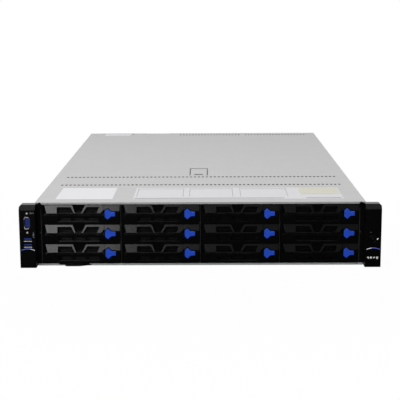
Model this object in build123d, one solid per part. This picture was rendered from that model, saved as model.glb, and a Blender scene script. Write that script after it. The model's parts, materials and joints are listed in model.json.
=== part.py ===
from build123d import *
import math
import os

# A two-unit rack server with twelve front drive bays, all lengths in millimetres.
# X runs to the right seen from the front, Y to the rear, Z up. The origin is on the
# chassis bottom, in the middle, at the plane where the rack ears meet the rack posts.
# The width and height grow from the drives outwards: with these sizes the body is
# 445 wide and 87 high, and 482.6 wide over the ears.

os.makedirs("parts", exist_ok=True)

# Sheet and clearances
SHEET = 1.2
TOUCH_GAP = 0.3
SLIDE_GAP = 0.5

# Chassis
BODY_DEPTH = 720.0
LIP_HEIGHT = 2.7

# Drives, trays and bays
COLUMNS = 4
ROWS = 3
DRIVE_WIDTH = 101.6
DRIVE_LENGTH = 147.0
DRIVE_HEIGHT = 25.4
DRIVE_SETBACK = 2.0
DRIVE_SIDE_GAP = 0.4
DRIVE_HEIGHT_GAP = 0.25
TRAY_RAIL = 1.2
TRAY_RAIL_MARGIN = 2.95
BAY_SIDE_GAP = 0.6
CAGE_WALL = 1.2
CAGE_SHELF = 0.6
CAGE_SIDE = 8.1
CAGE_RIM = 3.15
CAGE_CHANNEL_FRONT = 3.0

# Tray bezel
BEZEL_FACE = -3.0
BEZEL_DEPTH = 9.0
GRILLE_SHEET = 3.0
VENT_RECESS = 2.0
VENT_LEFT_MARGIN = 19.4
VENT_RIGHT_MARGIN = 25.4
VENT_DROP = 3.2
VENT_HEIGHT = 6.5
VENT_SLOPE = 2.5
VENT_COUNT = 3
VENT_RIB = 1.6
FACET_START = 4.7
FACET_RUN = 2.2

# Swing handle of a tray
HANDLE_LEFT_MARGIN = 3.2
HANDLE_RIGHT_MARGIN = 21.2
HANDLE_BAR = 1.9
HANDLE_STRIP = 3.0
HANDLE_LEAN = 3.4
HANDLE_BLOCK = 17.2
HANDLE_THICK = 4.0
HANDLE_TOP_THICK = 1.2
NOTCH_TOP = (-11.5, 5.8)
NOTCH_BOTTOM = (-7.2, 0.2)
BRACE = 2.2
GRIP_BOTTOM = 9.9
GRIP_TOP = 6.8
GRIP_CORNER_HEIGHT = 6.8
GRIP_CORNER_RUN = 4.4
PIVOT_INSET = 2.7
PIVOT_SETBACK = 1.5
PIVOT_RADIUS = 1.2
PIVOT_LENGTH = 3.0

# Release button beside the handle
BUTTON_GAP = 1.2
BUTTON_HEAD = 3.9
BUTTON_NECK = 8.6
BUTTON_LENGTH = 14.2
BUTTON_MIDDLE = 1.0
BUTTON_HEAD_HEIGHT = 14.8
BUTTON_NOSE_HEIGHT = 7.6
BUTTON_NECK_HEIGHT = 6.2
BUTTON_TAIL_HEIGHT = 6.0
BUTTON_THICK = 2.4
BUTTON_TRAVEL = 3.0
STEM_WIDTH = 4.0
STEM_HEIGHT = 3.0
STEM_LENGTH = 6.0

# Covers
SEAM_BEHIND_CAGE = 10.5
FLANGE_HEIGHT = 2.5
SLOT_WIDTH = 3.2
SLOT_LENGTH = 7.0
SLOT_PITCH = 6.06
SLOT_SIDE_MARGIN = 20.5
FRONT_SLOTS_BEFORE_SEAM = 39.0
MIDDLE_SLOTS_BEHIND_SEAM = 28.5
REAR_SLOTS_FROM_END = 25.0
REAR_SLOTS_MARGIN = 3.0
SIDE_FLANGE_DROP = 6.0
SIDE_FLANGE_START = 18.0
SIDE_FLANGE_LENGTH = 320.0
COVER_NOTCH_SHIFT = 23.0
COVER_NOTCH_WIDTH = 44.0
COVER_NOTCH_DEPTH = 3.0

# Cover latch
WELL_LEFT = -17.0
WELL_WIDTH = 26.7
WELL_FROM_SEAM = 43.5
WELL_LENGTH = 66.0
WELL_DEPTH = 6.5
LEVER_GAP = 0.8
LEVER_THICK = 3.0
LEVER_SKIRT = 1.5
LEVER_AXIS_FROM_END = 6.0
LEVER_AXIS_DEPTH = 3.0
LEVER_PIN_RADIUS = 1.5
LEVER_CUFF = 3.0
GRIP_SLOT_LENGTH = 9.0

# Ears
EAR_OVERHANG = 18.8
EAR_WIDTH = 21.3
EAR_FACE = -19.4
EAR_PAD = 0.6
EAR_PLATE = 2.0
EAR_BOTTOM = 1.3
EAR_SLOPE_RUN = 4.5
EAR_SLOPE_DROP = 6.7
EAR_CORNER = 2.5
EAR_PAD_DROP = 62.0
EAR_PAD_CROWN = 2.3
EAR_PAD_MARGIN = 1.4
EAR_TAB_LENGTH = 60.0
EAR_RELIEF = 0.6

# Sockets of the left ear, placed from its inner edge and its top
VGA_INSET = 10.6
VGA_DROP = 24.1
VGA_WIDTH = 8.4
VGA_HEIGHT = 16.9
VGA_TAPER = 1.2
VGA_CORNER = 2.2
VGA_SHELL = 0.6
VGA_CORE_GAP = 0.8
VGA_CORE_SETBACK = 2.5
JACK_RADIUS = 2.2
JACK_SPACING = 13.0
USB_INSET = 10.2
USB_DROPS = (54.8, 46.8)
USB_WIDTH = 12.5
USB_HEIGHT = 5.1
USB_SHELL = 0.5
USB_TONGUE = 1.8
USB_TONGUE_MARGIN = 1.0
PORT_DEPTH = 14.0
PORT_PROUD = 0.4

# Power button of the right ear
POWER_INSET = 10.0
POWER_DROP = 47.0
POWER_RADIUS = 4.4
POWER_PROUD = 0.6
POWER_DEPTH = 6.0
POWER_TRAVEL = 1.2

# Pull-out information tab
TAG_SHIFT = 10.2
TAG_ROOT_LEFT = 13.0
TAG_ROOT_RIGHT = 23.0
TAG_TIP_LEFT = 11.0
TAG_TIP_RIGHT = 8.0
TAG_REACH = 7.0
TAG_GRIP = 1.6
TAG_CARD_WIDTH = 40.0
TAG_CARD_LENGTH = 64.0
TAG_CARD = 1.0

# Backplane, fans and bulkhead
CONNECTOR_REACH = 6.0
BACKPLANE_SHEET = 2.4
BACKPLANE_MARGIN = 4.0
CONNECTOR_WIDTH = 34.0
CONNECTOR_HEIGHT = 6.0
CONNECTOR_SHIFT = 18.0
BULKHEAD_BEHIND_SEAM = 2.1
FANS = 4
FAN_HEADROOM = 4.6
FAN_SIDE_MARGIN = 11.3
FAN_DEPTH = 38.0
FAN_RIM = 1.8
HUB_RADIUS = 17.0
ROTOR_DEPTH = 24.0
BLADES = 7
BLADE_THICK = 1.6
BLADE_CHORD = 22.0
BLADE_ANGLE = 42.0
BLADE_TIP_GAP = 3.0
STRUT_WIDTH = 3.0
STRUT_DEPTH = 4.0
STRUTS = 3

# System board
BOARD_BEHIND_FANS = 49.2
BOARD_SHEET = 1.6
BOARD_RISE = 3.6
BOARD_MARGIN = 3.5
BOARD_REAR_GAP = 4.0
STANDOFF_RADIUS = 3.0
SOCKET_X = 92.0
SOCKET_SIZE = 78.0
SOCKET_HEIGHT = 6.0
SINK_WIDTH = 78.0
SINK_LENGTH = 106.0
SINK_HEADROOM = 7.7
SINK_BASE = 8.0
SINK_FINS = 12
SINK_FIN = 1.4
MODULE_LENGTH = 133.4
MODULE_HEIGHT = 31.0
MODULE_THICK = 3.8
MODULE_PITCH = 9.4
MODULES_PER_BANK = 4
BANK_FROM_SOCKET = 49.0

# Power supplies, at the left of the rear
PSU_WIDTH = 73.5
PSU_LENGTH = 185.0
PSU_FROM_SIDE = 4.0
PSU_SHELF = 1.0
PSU_HEADROOM = 2.1
PSU_GRILLE_RIM = 3.0
PSU_GRILLE_X = -17.0
PSU_GRILLE_DEPTH = 3.0
INLET_X = 15.0
INLET_WIDTH = 27.5
INLET_HEIGHT = 20.0
INLET_DEPTH = 17.0
INLET_CORNER = 3.5
PSU_GRIP_WIDTH = 7.0
PSU_GRIP_GAP = 1.25
PSU_GRIP_REACH = 24.0
PSU_GRIP_THICK = 2.5
PSU_LATCH_WIDTH = 4.0
PSU_LATCH_HEIGHT = 24.0
PSU_LATCH_THICK = 2.0
PSU_LATCH_REACH = 10.0

# Card slots and rear sockets
LOW_SLOTS = 4
LOW_SLOT_MARGIN = 9.3
CARD_PITCH = 20.32
LOW_SLOT_WIDTH = 13.0
LOW_SLOT_BOTTOM = 8.0
LOW_SLOT_HEADROOM = 9.8
RISERS = 2
RISER_SLOTS = 3
RISER_MARGIN = 13.0
RISER_SPACING = 5.0
RISER_SIDE_MARGIN = 17.5
RISER_BOTTOM = 23.5
RISER_HEADROOM = 1.34
RISER_LENGTH = 210.0
RISER_SLOT_RIB = 7.3
RISER_SLOT_MARGIN = 8.0
BLANK_SHEET = 0.9
BLANK_BORDER = 1.6
# Width and height of each rear socket: two network, two stacked USB, video,
# management network and a network module
REAR_SOCKETS = (
    (15.4, 12.6),
    (15.4, 12.6),
    (13.2, 14.8),
    (13.2, 14.8),
    (30.8, 12.5),
    (15.4, 12.6),
    (70.0, 13.0),
)
SOCKET_SPACING = 1.0
SOCKET_DEPTH = 15.0
SOCKET_WALL = 1.0
SOCKET_PROUD = 0.4

# Rail studs and screw holes of the side walls
STUD_RADIUS = 2.5
STUD_HEAD_RADIUS = 4.0
STUD_HEAD = 1.0
STUD_REACH = 2.4
STUD_PLACES = (120.0, 560.0)
RAIL_HOLE_RADIUS = 1.65
RAIL_HOLE_Y = 200.0
RAIL_NUT_RADIUS = 3.6
RAIL_NUT_LENGTH = 2.4

# Sizes worked out from the ones above
TRAY_WIDTH = DRIVE_WIDTH + 2 * (DRIVE_SIDE_GAP + TRAY_RAIL)
TRAY_HEIGHT = DRIVE_HEIGHT + 2 * DRIVE_HEIGHT_GAP
TRAY_SIDE = TRAY_WIDTH / 2
TRAY_TOP = TRAY_HEIGHT / 2
BAY_WIDTH = TRAY_WIDTH + 2 * BAY_SIDE_GAP
BAY_HEIGHT = TRAY_HEIGHT + 2 * TOUCH_GAP
COLUMN_PITCH = BAY_WIDTH + CAGE_WALL
ROW_PITCH = BAY_HEIGHT + CAGE_SHELF
BODY_WIDTH = COLUMNS * COLUMN_PITCH + 2 * CAGE_SIDE
BODY_HEIGHT = ROWS * ROW_PITCH - CAGE_SHELF + 2 * CAGE_RIM
RACK_WIDTH = BODY_WIDTH + 2 * EAR_OVERHANG
HALF = BODY_WIDTH / 2
INSIDE = HALF - SHEET
COVER_UNDER = BODY_HEIGHT - SHEET
FIRST_ROW_HEIGHT = CAGE_RIM + BAY_HEIGHT / 2

BEZEL_BACK = BEZEL_FACE + BEZEL_DEPTH
POCKET_FLOOR = BEZEL_BACK - GRILLE_SHEET
DRIVE_FRONT = BEZEL_BACK + DRIVE_SETBACK
DRIVE_REAR = DRIVE_FRONT + DRIVE_LENGTH
VENT_LEFT = -TRAY_SIDE + VENT_LEFT_MARGIN
VENT_RIGHT = TRAY_SIDE - VENT_RIGHT_MARGIN
HANDLE_LEFT = -TRAY_SIDE + HANDLE_LEFT_MARGIN
HANDLE_RIGHT = TRAY_SIDE - HANDLE_RIGHT_MARGIN
HANDLE_BACK = BEZEL_FACE + HANDLE_THICK
PIVOT_X = HANDLE_LEFT + PIVOT_INSET
PIVOT_Y = HANDLE_BACK - PIVOT_SETBACK
BUTTON_LEFT = HANDLE_RIGHT + BUTTON_GAP

CAGE_DEPTH = DRIVE_REAR + CONNECTOR_REACH
COVER_SEAM = CAGE_DEPTH + SEAM_BEHIND_CAGE
WELL_FRONT = COVER_SEAM + WELL_FROM_SEAM
WELL_REAR = WELL_FRONT + WELL_LENGTH
WELL_FLOOR = BODY_HEIGHT - WELL_DEPTH
LEVER_AXIS_Y = WELL_REAR - LEVER_AXIS_FROM_END
LEVER_AXIS_Z = BODY_HEIGHT - LEVER_AXIS_DEPTH

EAR_INNER = RACK_WIDTH / 2 - EAR_WIDTH
VGA_X = -EAR_INNER - VGA_INSET
VGA_Z = BODY_HEIGHT - VGA_DROP
USB_X = -EAR_INNER - USB_INSET
POWER_X = EAR_INNER + POWER_INSET
POWER_Z = BODY_HEIGHT - POWER_DROP
TAG_X = -(COLUMNS - 1) / 2 * COLUMN_PITCH - TAG_SHIFT

BULKHEAD_Y = COVER_SEAM + BULKHEAD_BEHIND_SEAM
FAN_SIZE = COVER_UNDER - SHEET - FAN_HEADROOM
FAN_PITCH = 2 * (INSIDE - FAN_SIDE_MARGIN) / FANS
FAN_BORE = FAN_SIZE / 2 - FAN_RIM
FAN_FRONT = BULKHEAD_Y + SHEET
FAN_REAR = FAN_FRONT + FAN_DEPTH
FAN_MIDDLE = SHEET + FAN_SIZE / 2

REAR_FACE = BODY_DEPTH
REAR_INNER = BODY_DEPTH - SHEET
PSU_HEIGHT = (COVER_UNDER - PSU_HEADROOM - SHEET - PSU_SHELF - 3 * SLIDE_GAP) / 2
PSU_LEFT = -HALF + PSU_FROM_SIDE
PSU_RIGHT = PSU_LEFT + PSU_WIDTH
PSU_FRONT = REAR_FACE - PSU_LENGTH
PSU_LEVELS = (SHEET + SLIDE_GAP, SHEET + PSU_HEIGHT + PSU_SHELF + 3 * SLIDE_GAP)
PSU_WALL = PSU_RIGHT + SLIDE_GAP
PSU_MIDDLE = (PSU_LEFT + PSU_RIGHT) / 2

BOARD_FRONT = FAN_REAR + BOARD_BEHIND_FANS
BOARD_BOTTOM = SHEET + BOARD_RISE
BOARD_TOP = BOARD_BOTTOM + BOARD_SHEET
SOCKET_Y = (BOARD_FRONT + PSU_FRONT) / 2
SINK_BOTTOM = BOARD_TOP + SOCKET_HEIGHT
SINK_TOP = WELL_FLOOR - SHEET - SINK_HEADROOM

LOW_SLOT_LEFT = PSU_WALL + SHEET + LOW_SLOT_MARGIN
LOW_SLOT_TOP = COVER_UNDER - LOW_SLOT_HEADROOM
RISER_LEFT = LOW_SLOT_LEFT + (LOW_SLOTS - 1) * CARD_PITCH + LOW_SLOT_WIDTH + RISER_MARGIN
RISER_PITCH_X = (HALF - RISER_SIDE_MARGIN - RISER_LEFT + RISER_SPACING) / RISERS
RISER_TOP = COVER_UNDER - RISER_HEADROOM
RISER_PITCH_Z = (RISER_TOP - RISER_BOTTOM) / RISER_SLOTS


def outline(*points):
    """A flat face with straight edges through the points."""
    return make_face(Polyline(*points, close=True))


def window(left, right, bottom, top):
    """A rectangle given by its four sides."""
    return Pos((left + right) / 2, (bottom + top) / 2) * Rectangle(right - left, top - bottom)


def seen_from_front(shape, front, back):
    """Carry a face drawn in X and Z from one depth to another."""
    return extrude(Plane.XZ.offset(-back) * shape, amount=back - front)


def seen_from_side(shape, left, right):
    """Carry a face drawn in Y and Z from one side to another."""
    return extrude(Plane.YZ.offset(left) * shape, amount=right - left)


def seen_from_above(shape, bottom, top):
    """Carry a face drawn in X and Y from one height to another."""
    return extrude(Plane.XY.offset(bottom) * shape, amount=top - bottom)


def round_bar(x, z, radius, front, back):
    """A round bar along Y."""
    return seen_from_front(Pos(x, z) * Circle(radius), front, back)


def save(name, *solids):
    """Write one node, made of one solid or of several that stay apart."""
    shape = solids[0] if len(solids) == 1 else Compound(children=list(solids))
    shape.label = name
    export_step(shape, f"parts/{name}.step")


def bay_middle(column, row):
    """X and Z of the middle of a bay, counted from the bottom left."""
    x = (column - (COLUMNS - 1) / 2) * COLUMN_PITCH
    return x, FIRST_ROW_HEIGHT + row * ROW_PITCH


def every_bay():
    return [(c, r) for r in range(ROWS) for c in range(COLUMNS)]


def fan_middles():
    return [(i - (FANS - 1) / 2) * FAN_PITCH for i in range(FANS)]


def slot_places(start, end):
    """X of each vent slot in a row that fills a stretch of the cover."""
    count = int(round((end - start) / SLOT_PITCH)) + 1
    middle = (start + end) / 2
    return [middle + (i - (count - 1) / 2) * SLOT_PITCH for i in range(count)]


def slot_row(start, end, y):
    return [Pos(x, y) * Rectangle(SLOT_WIDTH, SLOT_LENGTH) for x in slot_places(start, end)]


# Chassis tub: floor, side walls, rear wall, fan bulkhead and supply bay, riveted together

def low_slot_lefts():
    return [LOW_SLOT_LEFT + i * CARD_PITCH for i in range(LOW_SLOTS)]


def riser_sides():
    """Left and right edge of the opening for each riser cage."""
    lefts = [RISER_LEFT + i * RISER_PITCH_X for i in range(RISERS)]
    return [(left, left + RISER_PITCH_X - RISER_SPACING) for left in lefts]


def socket_spans():
    """Left edge, width and height of each rear socket, side by side."""
    spans = []
    left = RISER_LEFT
    for width, height in REAR_SOCKETS:
        spans.append((left, width, height))
        left += width + SOCKET_SPACING
    return spans


def card_panel():
    """Rear wall between the supplies and the riser cages, with the low card slots."""
    panel = window(PSU_WALL + SHEET, card_panel_edge(), SHEET, COVER_UNDER)
    for left in low_slot_lefts():
        panel -= window(left, left + LOW_SLOT_WIDTH, LOW_SLOT_BOTTOM, LOW_SLOT_TOP)
    return seen_from_front(panel, REAR_INNER, REAR_FACE)


def card_panel_edge():
    return RISER_LEFT - RISER_MARGIN / 2


def socket_panel():
    """Rear wall from there to the right side, with the risers above the sockets."""
    panel = window(card_panel_edge(), INSIDE, SHEET, COVER_UNDER)
    for left, right in riser_sides():
        panel -= window(left, right, RISER_BOTTOM, RISER_TOP)
    spans = socket_spans()
    right = spans[-1][0] + spans[-1][1] + TOUCH_GAP
    top = BOARD_TOP + max(height for _, _, height in spans) + TOUCH_GAP
    panel -= window(RISER_LEFT - TOUCH_GAP, right, BOARD_TOP - TOUCH_GAP, top)
    return seen_from_front(panel, REAR_INNER, REAR_FACE)


def fan_bulkhead():
    wall = window(-INSIDE, INSIDE, SHEET, SHEET + FAN_SIZE)
    half = FAN_BORE - SHEET
    for x in fan_middles():
        wall -= window(x - half, x + half, FAN_MIDDLE - half, FAN_MIDDLE + half)
    return seen_from_front(wall, BULKHEAD_Y, BULKHEAD_Y + SHEET)


def supply_bay():
    """Wall and shelf for the supplies, with a frame round their openings."""
    shelf_bottom = PSU_LEVELS[0] + PSU_HEIGHT + SLIDE_GAP
    bay_top = PSU_LEVELS[1] + PSU_HEIGHT + SLIDE_GAP
    wall = window(PSU_WALL, PSU_WALL + SHEET, SHEET, COVER_UNDER)
    shelf = window(-INSIDE, PSU_WALL, shelf_bottom, shelf_bottom + PSU_SHELF)
    frame = window(-INSIDE, PSU_WALL, SHEET, COVER_UNDER)
    frame -= window(PSU_LEFT - SLIDE_GAP, PSU_WALL, SHEET, bay_top)
    return seen_from_front(wall + shelf, PSU_FRONT, REAR_FACE) + seen_from_front(frame, REAR_INNER, REAR_FACE)


def rail_stud():
    """A headed stud that hangs in a keyhole of the slide rail, drawn standing up."""
    shaft = Pos(0, 0, STUD_REACH / 2) * Cylinder(STUD_RADIUS, STUD_REACH)
    head = Pos(0, 0, STUD_REACH - STUD_HEAD / 2) * Cylinder(STUD_HEAD_RADIUS, STUD_HEAD)
    return shaft + head


def floor_pan():
    """Floor with a lip turned up along its front."""
    pan = seen_from_front(window(-INSIDE, INSIDE, 0, SHEET), 0, BODY_DEPTH)
    lip = window(-EAR_INNER + TOUCH_GAP, EAR_INNER - TOUCH_GAP, 0, LIP_HEIGHT)
    tag_half = TAG_CARD_WIDTH / 2 + SLIDE_GAP
    lip -= window(TAG_X - tag_half, TAG_X + tag_half, SHEET, LIP_HEIGHT)
    return pan + seen_from_front(lip, -SHEET, 0)


def side_wall(side):
    """Wall with rail studs outside and a clinch nut inside, riveted to the floor."""
    edges = sorted((side * INSIDE, side * HALF))
    wall = seen_from_front(window(*edges, 0, COVER_UNDER), 0, BODY_DEPTH)
    middle = BODY_HEIGHT / 2
    outward = Rot(Y=side * 90)
    nut = extrude(RegularPolygon(RAIL_NUT_RADIUS, 6), amount=-RAIL_NUT_LENGTH)
    wall += Pos(side * INSIDE, RAIL_HOLE_Y, middle) * outward * nut
    bore = Cylinder(RAIL_HOLE_RADIUS, 3 * RAIL_NUT_LENGTH)
    wall -= Pos(side * INSIDE, RAIL_HOLE_Y, middle) * outward * bore
    for y in STUD_PLACES:
        wall += Pos(side * HALF, y, middle) * outward * rail_stud()
    return wall


def chassis_tub():
    rear = [card_panel(), socket_panel()]
    return [floor_pan(), side_wall(-1), side_wall(1), *rear, fan_bulkhead(), supply_bay()]


# Covers

def front_cover():
    sheet = window(-HALF, HALF, -SHEET, COVER_SEAM)
    edge = HALF - SLOT_SIDE_MARGIN
    sheet -= slot_row(-edge, edge, COVER_SEAM - FRONT_SLOTS_BEFORE_SEAM)
    cover = seen_from_above(sheet, COVER_UNDER, BODY_HEIGHT)
    flange = window(-HALF, HALF, BODY_HEIGHT - FLANGE_HEIGHT, BODY_HEIGHT)
    return cover + seen_from_front(flange, -SHEET, 0)


def rear_cover():
    sheet = window(-HALF, HALF, COVER_SEAM, BODY_DEPTH)
    edge = HALF - SLOT_SIDE_MARGIN
    sheet -= slot_row(-edge, edge, COVER_SEAM + MIDDLE_SLOTS_BEHIND_SEAM)
    for left, right in riser_sides():
        row = slot_row(left + REAR_SLOTS_MARGIN, right - REAR_SLOTS_MARGIN, BODY_DEPTH - REAR_SLOTS_FROM_END)
        sheet -= row
    notch_left = LOW_SLOT_LEFT + COVER_NOTCH_SHIFT
    notch_front = BODY_DEPTH - COVER_NOTCH_DEPTH
    sheet -= window(notch_left, notch_left + COVER_NOTCH_WIDTH, notch_front, BODY_DEPTH)
    well_right = WELL_LEFT + WELL_WIDTH
    well = window(WELL_LEFT, well_right, WELL_FRONT, WELL_REAR)
    rim = window(WELL_LEFT - SHEET, well_right + SHEET, WELL_FRONT - SHEET, WELL_REAR + SHEET)
    cover = seen_from_above(sheet - well, COVER_UNDER, BODY_HEIGHT)
    cover += seen_from_above(rim - well, WELL_FLOOR, COVER_UNDER)
    cover += seen_from_above(rim, WELL_FLOOR - SHEET, WELL_FLOOR)
    start = COVER_SEAM + SIDE_FLANGE_START
    inner = INSIDE - TOUCH_GAP
    for side in (-1, 1):
        edges = sorted((side * inner, side * (inner - SHEET)))
        strip = window(*edges, start, start + SIDE_FLANGE_LENGTH)
        cover += seen_from_above(strip, COVER_UNDER - SIDE_FLANGE_DROP, COVER_UNDER)
    hinge = Pos((WELL_LEFT + well_right) / 2, LEVER_AXIS_Y, LEVER_AXIS_Z) * Rot(Y=90)
    return cover - hinge * Cylinder(LEVER_PIN_RADIUS + TOUCH_GAP, WELL_WIDTH + 2 * SHEET)


def cover_latch():
    """A lever that lies in the well and lifts at its front end."""
    left = WELL_LEFT + LEVER_GAP
    right = WELL_LEFT + WELL_WIDTH - LEVER_GAP
    front = WELL_FRONT + LEVER_GAP
    back = LEVER_AXIS_Y + LEVER_CUFF
    top = BODY_HEIGHT
    profile = outline(
        (front, top),
        (front, top - LEVER_THICK),
        (LEVER_AXIS_Y - LEVER_CUFF, top - LEVER_THICK),
        (LEVER_AXIS_Y - LEVER_SKIRT, top - LEVER_THICK - LEVER_CUFF + LEVER_SKIRT),
        (LEVER_AXIS_Y + LEVER_SKIRT, top - LEVER_THICK - LEVER_CUFF + LEVER_SKIRT),
        (back, top - LEVER_THICK),
        (back, top - LEVER_SKIRT),
        (back - LEVER_SKIRT, top),
    )
    lever = seen_from_side(profile, left, right)
    grip_half = (right - left) / 2 - 2 * LEVER_CUFF
    middle = (left + right) / 2
    grip_y = front + LEVER_CUFF
    grip = window(middle - grip_half, middle + grip_half, grip_y, grip_y + GRIP_SLOT_LENGTH)
    lever -= seen_from_above(grip, top - 2 * LEVER_THICK, top)
    pin = Pos(middle, LEVER_AXIS_Y, LEVER_AXIS_Z) * Rot(Y=90)
    return lever + pin * Cylinder(LEVER_PIN_RADIUS, WELL_WIDTH + SHEET)


# Drive cage and backplane

def drive_cage():
    frame = window(-INSIDE, INSIDE, SHEET, COVER_UNDER)
    for column, row in every_bay():
        x, z = bay_middle(column, row)
        frame -= window(x - BAY_WIDTH / 2, x + BAY_WIDTH / 2, z - BAY_HEIGHT / 2, z + BAY_HEIGHT / 2)
    cage = seen_from_front(frame, 0, CAGE_DEPTH)
    channel_inner = COLUMNS * COLUMN_PITCH / 2 + CAGE_WALL / 2
    for side in (-1, 1):
        edges = sorted((side * channel_inner, side * (INSIDE - CAGE_WALL)))
        channel = window(*edges, SHEET + CAGE_WALL, COVER_UNDER - CAGE_WALL)
        cage -= seen_from_front(channel, CAGE_CHANNEL_FRONT, CAGE_DEPTH)
    tag_half = TAG_CARD_WIDTH / 2 + SLIDE_GAP
    floor_top = FIRST_ROW_HEIGHT - BAY_HEIGHT / 2
    slot = window(TAG_X - tag_half, TAG_X + tag_half, SHEET, floor_top)
    return cage - seen_from_front(slot, 0, TAG_CARD_LENGTH)


def backplane():
    board = window(
        -INSIDE + BACKPLANE_MARGIN, INSIDE - BACKPLANE_MARGIN, SHEET, COVER_UNDER - BACKPLANE_MARGIN
    )
    plane = seen_from_front(board, CAGE_DEPTH, CAGE_DEPTH + BACKPLANE_SHEET)
    for column, row in every_bay():
        x, z = bay_middle(column, row)
        left = x + CONNECTOR_SHIFT - CONNECTOR_WIDTH / 2
        bottom = z - CONNECTOR_HEIGHT / 2
        connector = window(left, left + CONNECTOR_WIDTH, bottom, bottom + CONNECTOR_HEIGHT)
        plane += seen_from_front(connector, DRIVE_REAR + TOUCH_GAP, CAGE_DEPTH)
    return plane


# Drive tray, handle and release button, drawn about the middle of a bay

def vent_outline():
    bottom = -VENT_DROP - VENT_HEIGHT
    return outline(
        (VENT_LEFT, -VENT_DROP),
        (VENT_RIGHT, -VENT_DROP),
        (VENT_RIGHT - VENT_SLOPE, bottom),
        (VENT_LEFT + VENT_SLOPE, bottom),
    )


def handle_windows():
    """The two windows between the hinge block, the brace and the grip block."""
    low = HANDLE_BAR
    high = TRAY_TOP - HANDLE_STRIP
    block = HANDLE_LEFT + HANDLE_BLOCK
    left = outline(
        (block, low),
        (NOTCH_BOTTOM[0] - BRACE, low),
        (NOTCH_TOP[0] - BRACE, high),
        (block, high),
    )
    right = outline(
        (NOTCH_BOTTOM[1] + BRACE, low),
        (HANDLE_RIGHT - GRIP_BOTTOM, low),
        (HANDLE_RIGHT - GRIP_TOP, high),
        (NOTCH_TOP[1] + BRACE, high),
    )
    return left, right


def button_slot():
    """Slot for the stem of the release button, with its travel."""
    middle = BUTTON_LEFT + BUTTON_HEAD
    half = STEM_WIDTH / 2 + TOUCH_GAP
    rise = STEM_HEIGHT / 2 + TOUCH_GAP
    return window(
        middle - half, middle + half + BUTTON_TRAVEL, BUTTON_MIDDLE - rise, BUTTON_MIDDLE + rise
    )


def tray_frame():
    """Moulded bezel with a rail on each side of the drive."""
    face = window(-TRAY_SIDE, TRAY_SIDE, -TRAY_TOP, TRAY_TOP)
    block = seen_from_front(face, BEZEL_FACE, BEZEL_BACK)
    reach = HANDLE_THICK / 2
    pocket_left = PIVOT_X - math.hypot(PIVOT_INSET, PIVOT_Y - BEZEL_FACE) - TOUCH_GAP
    pocket = window(pocket_left, HANDLE_RIGHT + TOUCH_GAP, -TOUCH_GAP, TRAY_TOP)
    block -= seen_from_front(pocket, BEZEL_FACE, POCKET_FLOOR)
    facet = outline(
        (BEZEL_FACE, FACET_START), (BEZEL_FACE + FACET_RUN, TRAY_TOP), (BEZEL_FACE, TRAY_TOP)
    )
    block -= seen_from_side(facet, HANDLE_RIGHT, TRAY_SIDE)
    for shape in handle_windows():
        block -= seen_from_front(shape, POCKET_FLOOR, BEZEL_BACK)
    block -= seen_from_front(vent_outline(), BEZEL_FACE, BEZEL_FACE + VENT_RECESS)
    block -= seen_from_front(button_slot(), BEZEL_FACE, BEZEL_BACK)
    pivot = Pos(PIVOT_X, PIVOT_Y, -(PIVOT_LENGTH + reach) / 2)
    block -= pivot * Cylinder(PIVOT_RADIUS + TOUCH_GAP, PIVOT_LENGTH + reach)
    vent_span = VENT_RIGHT - VENT_LEFT - 2 * VENT_SLOPE
    cell = vent_span / VENT_COUNT
    for i in range(VENT_COUNT):
        left = VENT_LEFT + VENT_SLOPE + i * cell + VENT_RIB / 2
        bottom = -VENT_DROP - VENT_HEIGHT + VENT_RIB / 2
        hole = window(left, left + cell - VENT_RIB, bottom, -VENT_DROP - VENT_RIB / 2)
        block -= seen_from_front(hole, BEZEL_FACE + VENT_RECESS, BEZEL_BACK)
    for side in (-1, 1):
        edges = sorted((side * TRAY_SIDE, side * (TRAY_SIDE - TRAY_RAIL)))
        rail = window(*edges, -TRAY_TOP + TRAY_RAIL_MARGIN, TRAY_TOP - TRAY_RAIL_MARGIN)
        block += seen_from_front(rail, BEZEL_BACK, DRIVE_REAR)
    return block


def drive():
    return seen_from_front(Rectangle(DRIVE_WIDTH, DRIVE_HEIGHT), DRIVE_FRONT, DRIVE_REAR)


def handle():
    """Lever with a leaning face, hinged at its left end."""
    face = outline(
        (HANDLE_LEFT, TRAY_TOP),
        (HANDLE_LEFT + HANDLE_LEAN, 0),
        (HANDLE_RIGHT - GRIP_CORNER_RUN, 0),
        (HANDLE_RIGHT - GRIP_CORNER_RUN, HANDLE_BAR),
        (HANDLE_RIGHT, GRIP_CORNER_HEIGHT),
        (HANDLE_RIGHT, TRAY_TOP),
    )
    for shape in handle_windows():
        face -= shape
    face -= outline(
        (NOTCH_TOP[0], TRAY_TOP),
        (NOTCH_BOTTOM[0], HANDLE_BAR),
        (NOTCH_BOTTOM[1], HANDLE_BAR),
        (NOTCH_TOP[1], TRAY_TOP),
    )
    lever = seen_from_front(face, BEZEL_FACE, HANDLE_BACK)
    lean = outline(
        (BEZEL_FACE, HANDLE_BAR), (HANDLE_BACK - HANDLE_TOP_THICK, TRAY_TOP), (BEZEL_FACE, TRAY_TOP)
    )
    lever -= seen_from_side(lean, HANDLE_LEFT, HANDLE_RIGHT)
    pin = Pos(PIVOT_X, PIVOT_Y, -PIVOT_LENGTH / 2) * Cylinder(PIVOT_RADIUS, PIVOT_LENGTH)
    return lever + pin


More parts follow.
